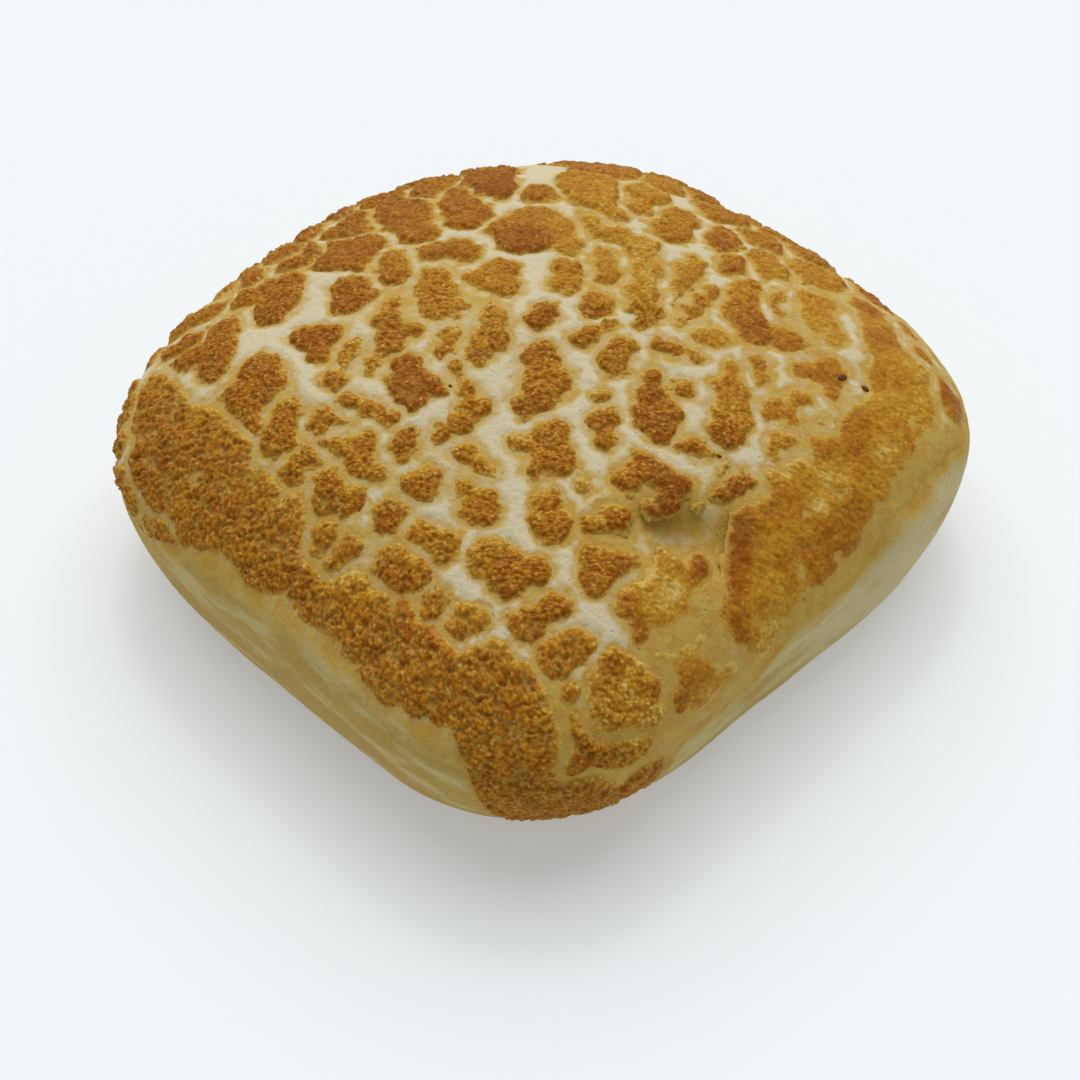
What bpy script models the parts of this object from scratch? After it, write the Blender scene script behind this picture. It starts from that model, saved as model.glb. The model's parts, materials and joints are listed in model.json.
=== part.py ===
"""Tiger bread loaf: a small, square, pillow-shaped loaf, made as one solid.

Metres, +Z up. The loaf rests on z = 0 with the middle of its footprint at the origin
and its four sides along X and Y. It is baked touching its neighbours, so its sides
are pressed flat under the crust, and its crown swells freely above them.
"""

import math

import bmesh
import bpy
from mathutils import Vector, noise

# Driving sizes, in metres
HALF_X = 0.0750
HALF_Y = 0.0783
HEIGHT = 0.0548
BELLY_Z = 0.0266  # level of the widest outline

# Form of the pillow
PLAN_POWER = 2.95  # superellipse power of the widest outline: 2 is round, 10 is square
DOME_POWER = 2.02  # superellipse power of the rise from the belly to the crown
SQUARE_REACH = 1.5  # how fast the outline turns from round at the crown to square at the belly
FOOT_SHARE = 0.80  # width of the foot, as a share of the belly
FOOT_LATITUDE = math.radians(-60.0)  # latitude at which the underside turns flat
CROWN_LEAN = (-0.004, -0.020)  # sideways drift of the crown, as a share of height

# Where the outline is fuller or leaner than the even pillow: direction in degrees, share
OUTLINE_PULLS = (
    (0.0, -0.020),
    (45.0, 0.018),
    (90.0, -0.015),
    (135.0, -0.058),
    (180.0, 0.028),
    (225.0, 0.011),
    (270.0, -0.010),
    (315.0, 0.052),
)
PULL_SPREAD = 0.35  # radians

# Sides pressed against other loaves: direction in degrees, depth
PRESSED_SIDES = ((0.0, 0.0018), (90.0, 0.0010), (180.0, 0.0012), (270.0, 0.0020))
PRESS_Z = 0.0200
PRESS_HALF_HEIGHT = 0.0130
PRESS_HALF_WIDTH = 0.0440
PRESS_BITE = 0.85  # the press fades out nearer to the middle than this share of the belly

# Hollows (positive) and swellings (negative) of the top: plan centre, plan radii, turn, depth
TOP_DENTS = (
    (Vector((0.0545, -0.0120)), (0.0085, 0.0048), 45.0, 0.0026),
    (Vector((0.0445, -0.0150)), (0.0080, 0.0060), 45.0, -0.0011),
    (Vector((0.0530, -0.0300)), (0.0070, 0.0070), 0.0, -0.0008),
    (Vector((-0.0080, 0.0330)), (0.0120, 0.0080), 0.0, 0.0009),
)

# The pinch under the crust's edge that runs round the +X +Y corner
PINCH_PATH = (
    Vector((0.0720, 0.0170, 0.0295)),
    Vector((0.0700, 0.0280, 0.0330)),
    Vector((0.0680, 0.0390, 0.0325)),
    Vector((0.0665, 0.0460, 0.0305)),
)
PINCH_DEPTH = 0.0025
PINCH_HALF_WIDTH = 0.0045

# Uneven rise of the dough: how large the lumps are, how high, and where the pattern starts
LUMPS = (
    (0.0300, 0.0011, Vector((3.1, 7.4, 1.9))),
    (0.0130, 0.0005, Vector((8.6, 0.7, 5.2))),
)
LUMP_FADE_Z = 0.0100  # the lumps grow from nothing at the foot to full at this height

FOOT_HOLLOW = 0.0005  # rise of the middle of the underside
FOOT_RING = 0.75  # the flat ring that the loaf stands on starts at this share of the foot

CELLS_ACROSS = 26  # mesh cells along each side
CELLS_UP = 14  # mesh cells from bottom to top


def bell(distance):
    """1 at no distance, falling smoothly to nearly 0 at a distance of 2."""
    return math.exp(-distance * distance)


def smooth_step(value):
    """0 below 0, 1 above 1, and a smooth rise between."""
    t = min(max(value, 0.0), 1.0)
    return t * t * (3.0 - 2.0 * t)


def profile(latitude):
    """Share of the belly's width and height of the loaf's skin at a latitude from -90 to 90 degrees."""
    if latitude >= 0.0:
        width = math.cos(latitude) ** (2.0 / DOME_POWER)
        rise = math.sin(latitude) ** (2.0 / DOME_POWER)
        return width, BELLY_Z + (HEIGHT - BELLY_Z) * rise
    if latitude > FOOT_LATITUDE:
        turn = 0.5 * math.pi * latitude / FOOT_LATITUDE
        width = FOOT_SHARE + (1.0 - FOOT_SHARE) * math.cos(turn)
        return width, BELLY_Z * (1.0 - math.sin(turn))
    inward = (latitude + 0.5 * math.pi) / (FOOT_LATITUDE + 0.5 * math.pi)
    return FOOT_SHARE * inward, FOOT_HOLLOW * smooth_step(1.0 - inward / FOOT_RING)


def plan_radius(heading, power):
    """Distance from the middle to a superellipse of the belly's size."""
    across = abs(math.cos(heading) / HALF_X) ** power
    along = abs(math.sin(heading) / HALF_Y) ** power
    return (across + along) ** (-1.0 / power)


def outline_pull(heading):
    """Factor by which the outline is fuller or leaner in a direction."""
    factor = 1.0
    for direction, share in OUTLINE_PULLS:
        gap = math.remainder(heading - math.radians(direction), 2.0 * math.pi)
        factor += share * bell(gap / PULL_SPREAD)
    return factor


def pillow_point(direction):
    """Point of the even pillow in a direction from the middle."""
    latitude = math.asin(max(-1.0, min(1.0, direction.z)))
    heading = math.atan2(direction.y, direction.x)
    width, z = profile(latitude)
    square = width**SQUARE_REACH
    reach = plan_radius(heading, PLAN_POWER) * square
    reach += plan_radius(heading, 2.0) * (1.0 - square)
    reach *= width * (1.0 + (outline_pull(heading) - 1.0) * square)
    x = reach * math.cos(heading) + CROWN_LEAN[0] * z
    y = reach * math.sin(heading) + CROWN_LEAN[1] * z
    return Vector((x, y, z))


def press_sides(point):
    """Moves a point inward where the loaf was pressed by its neighbours."""
    moved = point.copy()
    for direction, depth in PRESSED_SIDES:
        outward = Vector((math.cos(math.radians(direction)), math.sin(math.radians(direction)), 0.0))
        sideways = Vector((-outward.y, outward.x, 0.0))
        half = HALF_X if abs(outward.x) > 0.5 else HALF_Y
        near = smooth_step((point.dot(outward) / half - PRESS_BITE) / (1.0 - PRESS_BITE))
        across = bell((point.dot(sideways) / PRESS_HALF_WIDTH) ** 2)
        level = bell((point.z - PRESS_Z) / PRESS_HALF_HEIGHT)
        moved -= outward * depth * near * across * level
    return moved


def dent_top(point):
    """Lowers or raises a point of the crown at the dents and swellings."""
    depth = 0.0
    for centre, radii, turn, amount in TOP_DENTS:
        angle = math.radians(turn)
        offset = point.to_2d() - centre
        along = offset.x * math.cos(angle) + offset.y * math.sin(angle)
        across = offset.y * math.cos(angle) - offset.x * math.sin(angle)
        depth += amount * bell(math.hypot(along / radii[0], across / radii[1]))
    upper = smooth_step((point.z - BELLY_Z) / (HEIGHT - BELLY_Z))
    return Vector((point.x, point.y, point.z - depth * upper))


def distance_to_path(point, path):
    """Distance from a point to a line through the path's points."""
    nearest = math.inf
    for start, end in zip(path, path[1:]):
        run = end - start
        share = min(max((point - start).dot(run) / run.length_squared, 0.0), 1.0)
        nearest = min(nearest, (point - start - run * share).length)
    return nearest


def lump_height(point):
    """Height of the uneven rise at a point."""
    height = 0.0
    for size, amount, start in LUMPS:
        height += amount * noise.noise(point / size + start)
    return height * smooth_step(point.z / LUMP_FADE_Z)


def box_grid():
    """A two-metre cube centred on the origin, cut into rows and columns of cells."""
    grid = bmesh.new()
    bmesh.ops.create_cube(grid, size=2.0)
    axes = (
        (Vector((1.0, 0.0, 0.0)), CELLS_ACROSS),
        (Vector((0.0, 1.0, 0.0)), CELLS_ACROSS),
        (Vector((0.0, 0.0, 1.0)), CELLS_UP),
    )
    for normal, cells in axes:
        for step in range(1, cells):
            bmesh.ops.bisect_plane(
                grid,
                geom=grid.verts[:] + grid.edges[:] + grid.faces[:],
                plane_co=normal * (2.0 * step / cells - 1.0),
                plane_no=normal,
            )
    return grid


def sphere_direction(corner):
    """Direction from the middle for a point of the cube, spread evenly over a sphere."""
    x2, y2, z2 = corner.x**2, corner.y**2, corner.z**2
    return Vector(
        (
            corner.x * math.sqrt(1.0 - y2 / 2.0 - z2 / 2.0 + y2 * z2 / 3.0),
            corner.y * math.sqrt(1.0 - z2 / 2.0 - x2 / 2.0 + z2 * x2 / 3.0),
            corner.z * math.sqrt(1.0 - x2 / 2.0 - y2 / 2.0 + x2 * y2 / 3.0),
        )
    ).normalized()


def centre_on_origin(mesh):
    """Moves the loaf so that the middle of its footprint box is the origin."""
    xs = [vertex.co.x for vertex in mesh.verts]
    ys = [vertex.co.y for vertex in mesh.verts]
    middle = Vector((min(xs) + max(xs), min(ys) + max(ys), 0.0)) / 2.0
    bmesh.ops.translate(mesh, verts=mesh.verts[:], vec=-middle)


def loaf_mesh():
    """The loaf's closed skin: the pillow, pressed, dented, pinched and lumpy."""
    skin = box_grid()
    for vertex in skin.verts:
        vertex.co = dent_top(press_sides(pillow_point(sphere_direction(vertex.co))))
    skin.normal_update()
    for vertex in skin.verts:
        pinch = PINCH_DEPTH * bell(distance_to_path(vertex.co, PINCH_PATH) / PINCH_HALF_WIDTH)
        vertex.co += vertex.normal * (lump_height(vertex.co) - pinch)
    centre_on_origin(skin)
    mesh = bpy.data.meshes.new("loaf")
    skin.to_mesh(mesh)
    skin.free()
    mesh.shade_smooth()
    return mesh


def crust_material():
    """Golden brown baked paste, matt with a slight gloss."""
    material = bpy.data.materials.new("tiger crust")
    material.use_nodes = True
    surface = material.node_tree.nodes["Principled BSDF"]
    surface.inputs["Base Color"].default_value = (0.47, 0.22, 0.045, 1.0)
    surface.inputs["Roughness"].default_value = 0.6
    surface.inputs["Metallic"].default_value = 0.0
    return material


def main():
    for old in list(bpy.data.objects):
        bpy.data.objects.remove(old)
    collection = bpy.data.collections.new("tiger bread loaf")
    bpy.context.scene.collection.children.link(collection)
    loaf = bpy.data.objects.new("loaf", loaf_mesh())
    loaf.data.materials.append(crust_material())
    collection.objects.link(loaf)


main()
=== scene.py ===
"""Tiger bread loaf: the looks of a small square loaf with a cracked rice-paste crust.

The pale dough body is one closed skin. The baked paste lies on it as separate plates, each a
closed solid, with the cracks between them open to the dough. Metres, +Z up.
"""

import itertools
import json
import math

import bmesh
import bpy
import numpy as np
from mathutils import Matrix, Vector
from mathutils.bvhtree import BVHTree

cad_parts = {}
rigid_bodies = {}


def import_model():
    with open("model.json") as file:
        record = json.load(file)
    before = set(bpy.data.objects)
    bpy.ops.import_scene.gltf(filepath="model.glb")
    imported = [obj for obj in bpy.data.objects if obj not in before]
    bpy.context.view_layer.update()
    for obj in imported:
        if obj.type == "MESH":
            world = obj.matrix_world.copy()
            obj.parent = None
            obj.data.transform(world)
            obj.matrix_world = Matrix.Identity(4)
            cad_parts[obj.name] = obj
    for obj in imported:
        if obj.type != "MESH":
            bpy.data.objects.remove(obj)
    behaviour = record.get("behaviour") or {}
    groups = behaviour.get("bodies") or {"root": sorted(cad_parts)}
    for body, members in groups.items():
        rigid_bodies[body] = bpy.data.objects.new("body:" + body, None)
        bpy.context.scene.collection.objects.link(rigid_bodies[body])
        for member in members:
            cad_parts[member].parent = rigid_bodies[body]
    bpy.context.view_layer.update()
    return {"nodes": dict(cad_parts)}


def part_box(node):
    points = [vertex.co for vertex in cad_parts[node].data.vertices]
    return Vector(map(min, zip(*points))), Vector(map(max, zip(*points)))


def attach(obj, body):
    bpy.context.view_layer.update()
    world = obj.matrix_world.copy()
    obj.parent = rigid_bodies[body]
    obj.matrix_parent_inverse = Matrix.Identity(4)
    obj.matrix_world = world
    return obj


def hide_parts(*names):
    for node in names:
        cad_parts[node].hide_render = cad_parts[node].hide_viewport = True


bl_info = {
    "name": "Tiger bread loaf",
    "version": (1, 0, 0),
    "blender": (4, 5, 0),
    "location": "View3D > Sidebar > Loaf",
    "description": "Builds the dough, the cracked paste crust and the stage of a tiger bread loaf",
    "category": "Object",
}

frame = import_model()
LOAF_LOW, LOAF_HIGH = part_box("loaf")
LOAF_HEIGHT = LOAF_HIGH.z - LOAF_LOW.z
BELLY_Z = LOAF_LOW.z + 0.48 * LOAF_HEIGHT  # level of the widest outline
MM = 0.001

# ---------------------------------------------------------------------------------------------
# The crust's plates as they lie on the crown: each plate is a few round lobes that run into one
# another, given as x, y, radius in millimetres and how toasted it is, from 0 pale to 9 dark.
# ---------------------------------------------------------------------------------------------

CROWN_PLATES = (
    # middle of the crown, down to the fullest corner
    ((7, -5, 4, 6), (12, -9, 5, 5), (14, -15, 3.5, 7)),
    ((22, -18, 4, 6), (26, -21, 4.5, 6), (19, -23, 2, 4), (26, -26, 2.5, 6)),
    ((22, -4, 2, 3), (27, -8, 3, 6), (31, -11, 2.5, 6)),
    (
        (39.5, -15.5, 2.8, 6), (39, -10.5, 3.2, 6), (43.7, -9.5, 3.2, 7), (47, -8, 2.4, 8),
        (47.5, -12.5, 3.2, 9), (47, -16, 2, 9), (51.5, -8.5, 1.2, 8),
    ),
    ((44, -22, 2.8, 7), (42, -26, 2.3, 5)),
    ((34, -22, 1.6, 3),),
    ((32, -29, 3, 5), (36, -32, 4, 6)),
    ((51, -28, 3, 7), (50, -33, 4, 6), (46, -31, 2.5, 5)),
    (
        (59, -16.5, 2, 9), (56, -21, 2.6, 4), (62.5, -19.5, 2, 9), (64.5, -22, 1.6, 9), (60, -24, 4, 1),
        (65, -25, 1.8, 7), (61.5, -28.5, 4, 2), (65, -30, 2, 6), (57, -27, 2.6, 3),
        (58, -32, 2.8, 7), (62.5, -34, 2.8, 8),
    ),
    ((13, -32, 2.2, 5), (17, -32, 2.4, 5), (20, -33, 1.6, 5)),
    ((19, -37, 2.4, 5), (24, -38, 3.8, 6)),
    ((12, -42, 3.8, 6),),
    ((33, -44, 4, 5), (38, -45, 4, 6), (40, -41, 3.2, 6)),
    ((48, -43, 3, 6), (47, -49, 3.4, 6)),
    ((56, -45, 3, 6), (55, -50, 3, 6)),
    (
        (63, -42.5, 2.8, 6), (64.5, -46.5, 2.6, 5), (68.5, -45, 4.4, 3), (69, -49, 3.4, 4),
        (71, -41.5, 3.4, 2), (69, -37.5, 2.2, 9), (67, -40.5, 2.4, 3), (66.5, -49.5, 2.6, 4),
    ),
    (
        (67, -55, 2.8, 6), (69.3, -54, 2.8, 7), (71.5, -51.5, 3, 6), (73, -47.5, 3, 4),
        (74, -43, 3.2, 3), (68.5, -58, 2.8, 6), (64.5, -54, 2.2, 5), (75, -39, 3, 2),
    ),
    ((62, -52, 2.4, 5),),
    ((12.5, -51, 3.4, 6),),
    ((5.5, -60.5, 2.8, 5), (6, -63.5, 2.2, 6)),
    ((11.5, -59, 2.4, 6), (11, -62.5, 2, 5)),
    ((20, -49, 2.5, 5), (25, -48, 3, 5)),
    ((20, -57, 3.5, 6), (25, -57, 3.5, 6)),
    ((32, -57.5, 3, 6),),
    ((39, -57, 3.5, 5),),
    # front half, towards the left
    ((-3, -19, 2, 4), (2, -21, 2.4, 4), (7, -23, 2.8, 5), (8, -28, 3, 6), (6, -33, 2.6, 6)),
    ((4, -37, 3, 7), (7, -40, 1.8, 5)),
    ((-11, -26, 4, 7), (-6, -28, 4.5, 7), (-2, -25, 2.6, 8), (-3, -30, 2.4, 7)),
    ((-27, -13, 2.5, 5), (-23, -18, 3.5, 6), (-18, -23, 4, 6), (-16, -29, 3, 6), (-17, -17, 2.5, 6)),
    ((-23, -27, 2.4, 4), (-20, -30, 2.8, 4), (-19, -36, 2.6, 5)),
    ((-10, -13, 2.2, 4), (-8, -17, 2.6, 5)),
    ((-38, -14, 3.5, 6), (-34, -18, 4, 7), (-31, -14, 2.5, 6)),
    ((-33, -30, 3.4, 7), (-29, -28, 3.4, 7), (-27, -33, 2.8, 7)),
    ((-13, -38, 2.3, 5), (-9, -37, 2.2, 5), (-4, -36, 2.3, 6)),
    ((-13, -44, 3, 5), (-10, -42, 2.2, 5)),
    ((-7, -46, 3, 5), (-3, -44, 3.2, 5), (0, -47, 3, 6), (4, -46, 2, 5)),
    ((-9, -52, 3.2, 6), (-9, -55, 2, 6)),
    ((-3, -53, 2, 5), (0, -55, 3.2, 6), (4, -53, 3, 6)),
    ((-34, -42, 4.5, 6), (-29, -45, 5, 6), (-33, -50, 3.5, 6), (-27, -52, 3.5, 5)),
    ((-22, -46, 3.4, 6), (-19, -50, 3, 6), (-15, -52, 2.6, 5)),
    ((-52, -37, 4.5, 6), (-48, -42, 5, 6), (-44, -46, 3.6, 6), (-54, -45, 5, 6)),
    ((-53, -20, 5, 6), (-48, -25, 5, 6), (-45, -29, 3.6, 7), (-57, -27, 4, 6)),
    # the plates round the middle, towards the back and the left
    ((9.5, 5, 3, 6), (11.5, 10, 2.4, 5)),
    ((15.5, 8, 3.4, 5), (18, 3.5, 3.6, 6)),
    ((-1, 5, 2.2, 7), (0, 1.5, 2.6, 7)),
    ((-10, -4, 2.8, 4), (-6, -5, 3.2, 4), (-3, -9, 3.8, 5), (-2, -13, 2.4, 6)),
    ((-27, -2, 3.5, 5), (-22, -6, 5, 5), (-18, -9, 4, 5), (-14, -6, 2.8, 4)),
    ((-18, 8, 3.4, 5), (-13, 4, 3.4, 5), (-19, 3, 2.2, 4)),
    ((-33, 3, 2.8, 6), (-29, 7, 3.2, 6)),
    ((-26, 26, 4, 5), (-21, 27, 3.5, 4), (-22, 19, 4.4, 8), (-28, 20, 2.6, 6), (-14, 25, 3, 4)),
    ((-38, 18, 3.8, 6), (-43, 21, 4, 6), (-48, 25, 4, 5)),
    ((-42, 7, 4, 6), (-48, 11, 5, 6), (-55, 14, 6, 6), (-62, 17, 4, 6)),
    ((-48, -2, 5, 6), (-44, -6, 3.8, 6), (-52, -6, 4, 6), (-49, -10, 2.8, 7)),
    ((-38, -3, 3.2, 5), (-33, -6, 3.2, 5)),
    ((-50, 34, 5, 7), (-44, 30, 4, 8), (-54, 39, 4, 6)),
    ((-58, 3, 4, 6), (-60, 8, 4, 6)),
    ((-57, -9, 3.6, 6), (-58, -14, 3.6, 6)),
    ((-56, 22, 4, 6), (-58, 27, 4, 5)),
    ((-33, 35, 2, 6),),
    ((-31, 47, 4, 4), (-25, 43, 5, 4), (-18, 40, 4, 4)),
    ((-20, 53, 3.4, 4), (-16, 47, 2.8, 4)),
    ((-9, 52, 4.2, 5), (-5, 46, 4.6, 5)),
    ((-8, 28, 3.4, 4), (-3, 24, 3.2, 4), (0, 21, 2.2, 5)),
    ((-8, 18, 2.8, 5), (-5, 13, 3, 4)),
    ((3, 15, 2.8, 5), (5, 13, 2.8, 6)),
    # the back right, where the paste is thinner and yellower
    (
        (-18, 35.5, 3, 4), (-12, 33.5, 4, 4), (-5.5, 34.5, 3.8, 3), (1.5, 30, 4, 3), (7, 24.5, 4.6, 3),
        (13, 20.5, 3.2, 4), (9, 18.5, 2.6, 4), (14, 16.5, 1.8, 4),
    ),
    ((13.5, 25.5, 1.6, 5), (11.5, 29, 2.2, 5), (9.5, 32.5, 2.6, 5), (7.5, 36.5, 2.4, 4), (5.5, 40, 1.8, 4)),
    ((17, 23, 2, 6), (16, 27, 2.6, 6), (15, 31.5, 2.6, 5), (13.8, 36, 2, 5)),
    ((2, 57, 3.4, 6), (3, 52, 2.8, 7)),
    ((9, 49, 2, 6), (11, 46, 2.2, 6)),
    ((11, 57, 3.8, 5), (16, 55, 4.2, 4), (18, 50, 2.6, 5)),
    ((20, 49, 2.1, 5), (24, 46, 2.3, 5), (28, 43, 1.8, 6)),
    ((17, 45, 2.6, 5), (20, 40, 3.2, 5), (24, 35, 4, 6), (28, 33, 4, 7), (34, 38, 4, 6)),
    ((28, 54, 3.8, 4), (31, 48, 4.2, 4), (36, 46, 3.6, 3)),
    ((41, 34, 3, 6), (44, 38, 3.8, 6), (48, 33, 2.4, 6)),
    ((24, 24, 3.2, 4), (26, 27, 2.8, 3)),
    ((20, 14, 1.8, 7), (23, 16, 2.1, 5), (26, 18, 2, 6)),
    ((35, 27, 2, 6), (38, 24, 2.3, 6)),
    ((46, 28, 3, 5), (48, 23, 2.8, 5), (43, 22, 2.6, 5), (45, 19, 2.2, 6)),
    ((33, 21, 2, 5), (36, 17, 3.4, 5), (41, 13, 4.4, 4), (44, 8, 3.6, 7)),
    ((25, 7, 2.3, 7), (28, 3, 2.8, 7), (32, -1, 3.4, 7), (36, -2, 2.8, 7), (34, 3, 2.2, 7), (31, 9, 2, 6)),
    ((51, 17, 3, 4), (53, 13, 1.8, 6)),
    ((51, 26, 1.9, 6),),
    ((42, 0, 2.3, 7), (45, 2, 1.6, 5)),
    ((48.5, 2, 1.5, 5), (52.4, -2.8, 1.8, 9), (53, 0.5, 2, 9), (54, 4, 1.8, 8)),
)

# Thin smooth paste round the right margin: sheets of lobes that differ in how brown they are
THIN_SHEETS = (
    (
        ((33, 64, 4.5, 6), (39, 61, 5, 4), (44, 57, 5, 6), (50, 55, 6, 3), (53, 48, 5, 5)),
        ((57, 47, 6, 3), (60, 40, 6, 4), (55, 41, 3, 2), (57, 34, 4, 6), (63, 34, 5, 2)),
        ((60, 27, 4.5, 6), (65, 27, 5, 4), (67, 19, 5, 5), (62, 20, 4, 2), (57, 22, 3, 5)),
        ((60, 13, 3.5, 5), (64, 12, 4, 1), (68, 11, 4.5, 6), (71, 14, 3, 6), (71, 5, 4, 6)),
        ((65, 5, 4, 4), (60, 7, 3.5, 6), (61, 1, 3.5, 5), (66, -1, 4, 5), (70, -3, 4, 4)),
        ((58, -2.5, 2, 8), (60, -5.5, 2.2, 9), (62.5, -8.5, 2.4, 9), (65, -11, 2.4, 9), (65, -4, 3.5, 3)),
        ((70, -9, 4, 3), (67, -15.5, 2.2, 7), (56.5, 9, 2.8, 3), (56.5, 14, 2.6, 3), (67, -7, 3, 3)),
        ((69, -15, 3, 5), (72, -17.5, 3.2, 7), (66.5, -18.5, 2.6, 7), (74, -12, 3.6, 2)),
        ((74, -6, 3.6, 3), (70.5, -20.5, 2.6, 4)),
    ),
    (
        ((69, -25, 3, 3), (73.5, -23, 3, 2), (72.5, -27.5, 2.6, 6), (68.5, -29.5, 2.6, 3)),
        ((71, -31, 2.8, 6), (73, -34.5, 2.8, 6), (74, -29, 3, 2), (75, -34, 3.2, 2)),
        ((66.5, -33, 2.2, 3), (67, -29, 2, 1)),
    ),
)

# The close crust along the front, where the paste hardly cracked, and down the fullest corner
CLOSE_CRUST = (
    (-56, -54, 4, 5), (-50, -58, 5.5, 5), (-43, -61, 6.5, 6), (-40, -68, 6, 6), (-35, -58, 5, 5),
    (-33, -68, 6.5, 6), (-27, -59, 5, 5), (-25, -68, 6.5, 5), (-18, -68, 6, 6), (-10, -69, 5, 5),
    (-14, -71.5, 5, 5), (-6, -71.5, 5, 5), (2, -72, 5, 6), (10, -72, 5, 5), (18, -72, 5, 5),
    (26, -71.5, 5, 6), (34, -71, 5, 5), (42, -70, 5, 6), (50, -68, 5, 5), (-22, -72, 4, 5),
    (-2, -69.5, 4.6, 5), (6, -69.5, 4.6, 6), (14, -69.5, 4.6, 5), (22, -69.5, 5, 5), (30, -68, 6.5, 6),
    (61, -62, 4, 5), (38, -66, 7, 6), (46, -64, 7, 6), (54, -61, 6, 6), (60, -59, 5, 5), (63, -62, 4, 5),
    (-26, -61, 4, 6), (-20, -60, 4, 6), (-13, -61, 3.4, 5), (-14, -64.5, 5, 6), (-4.5, -62, 3.6, 5),
    (-1, -66.5, 4.6, 6), (7.5, -68.5, 4.4, 6), (14, -67, 3.6, 5), (22, -67.5, 4, 6), (17, -63, 2.4, 4),
    (22.5, -63, 2.6, 5), (28.5, -61.5, 3.2, 6), (35, -63, 3.4, 6), (47, -58.5, 3.2, 5),
)
# The same crust down the corner: heading in degrees, level and radius in millimetres
CLOSE_CORNER = (
    (306, 31, 6.5), (314, 31, 6.5), (306, 24, 6.5), (314, 24, 6.5), (320, 22, 5.5), (306, 17, 6.5),
    (314, 17, 6.5), (322, 15, 5.5), (329, 15, 5.5), (306, 10, 6.5), (314, 10, 6.5), (322, 9, 5.5),
)
CLOSE_CORNER_TOAST = 0.62
CLOSE_PLATE = len(CROWN_PLATES) + len(THIN_SHEETS)
SHEET_TOAST = 0.03  # how much browner the thin sheets are than drawn

# Burnt specks: x, y, length and width in millimetres, heading in degrees
BURNT_SPECKS = (
    (46.5, 38.5, 2.4, 1.2, 70),
    (50.5, 41, 1.8, 1.2, 20),
    (0, -22.5, 0.9, 0.6, 0),
    (46, 3, 1.0, 0.7, 40),
)

# The thick plate that hangs over the hollow: x, y, reach; the hollow: x, y, half lengths
BROW = (46 * MM, -11 * MM, 7.5 * MM)
HOLLOW = (54 * MM, -13 * MM, 10 * MM, 5 * MM)

# Where random plates fill in: beyond this plan outline of the crown and down the sides
HAND_PLACED_X = (-56 * MM, 80 * MM)
HAND_PLACED_Y = (-54 * MM, 57 * MM)

# Folds that fan out from a pinch in the crust: x, y, reach, and how many there are all round
FOLDS = (14 * MM, 18 * MM, 14 * MM, 11)

# How far down the sides the paste runs: heading in degrees, drop below the side line, half
# width of the drop in degrees, and the degrees over which it fades
CRUST_LINE_Z = 33.5 * MM
LINE_DROPS = (
    (320, 26 * MM, 11.5, 8),
    (338, 12 * MM, 15, 12),
    (275, -2 * MM, 16, 10),
    (225, 12 * MM, 25, 22),
    (180, 6 * MM, 20, 20),
    (135, 15 * MM, 14, 24),
    (90, 5 * MM, 20, 20),
    (45, 4 * MM, 10, 16),
    (8, 4 * MM, 9, 10),
)

# Fineness: cells of the cage laid on the solid, and how often they are halved
CAGE_ACROSS = 36
CAGE_UP = 16
SEED_LEVELS = 2  # for the random plates
DOUGH_LEVELS = 3
CRUST_LEVELS = 4
CRUST_PIECES = 8
DOUGH_TRIANGLES = 190000
UNSEEN_REDUCTION = 1.0  # how readily the dough is made coarser under the paste and at the foot
SEEN_REDUCTION = 0.04  # and elsewhere

LIT_THIN_SIDE = np.array((-0.75, 0.65, 0.0))  # the side of a plate towards the light: its paste thins out there, and it is painted paler there as painted light
LIT_THIN_WIDTH = 1.5 * MM
BED_BELOW_RECESS = 0.75 * MM  # how much deeper than in the cracks the dough lies under the paste

DOWN = Vector((0.0, 0.0, -1.0))
LIGHT_FROM = Vector((-0.46, 0.46, 1.0))
AIM_HEIGHT = 28 * MM  # the camera looks past this height over the origin by these amounts
AIM_RIGHT = 1.14 * MM
AIM_BELOW = 23.86 * MM
FLOOR_GAP = 0.02 * MM  # keeps the floor from showing through the underside
FLOOR_HALF_WIDTH = 3.0


class LoafSizes(bpy.types.PropertyGroup):
    """Sizes of the loaf's crust and dough."""

    crust_thickness: bpy.props.FloatProperty(
        name="Crust thickness",
        description="Height of a plate over the dough in the middle of the crown",
        default=1.2 * MM,
        unit="LENGTH",
    )
    rim_radius: bpy.props.FloatProperty(
        name="Rim radius",
        description="Width over which a plate's rim rounds up to its full height",
        default=2.1 * MM,
        unit="LENGTH",
    )
    grit_size: bpy.props.FloatProperty(
        name="Grit size",
        description="Distance between the paste's coarse grains",
        default=0.85 * MM,
        unit="LENGTH",
    )
    grit_height: bpy.props.FloatProperty(
        name="Grit height",
        description="How far the coarse grains stand out",
        default=0.45 * MM,
        unit="LENGTH",
    )
    crack_width: bpy.props.FloatProperty(
        name="Crack width",
        description="Least width of a crack between two plates",
        default=1.1 * MM,
        unit="LENGTH",
    )
    dough_recess: bpy.props.FloatProperty(
        name="Dough recess",
        description="How far the bare dough lies inside the loaf's outer form",
        default=0.35 * MM,
        unit="LENGTH",
    )
    seed: bpy.props.IntProperty(
        name="Seed",
        description="Start of the random draws for the plates that fill in",
        default=7,
    )


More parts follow.
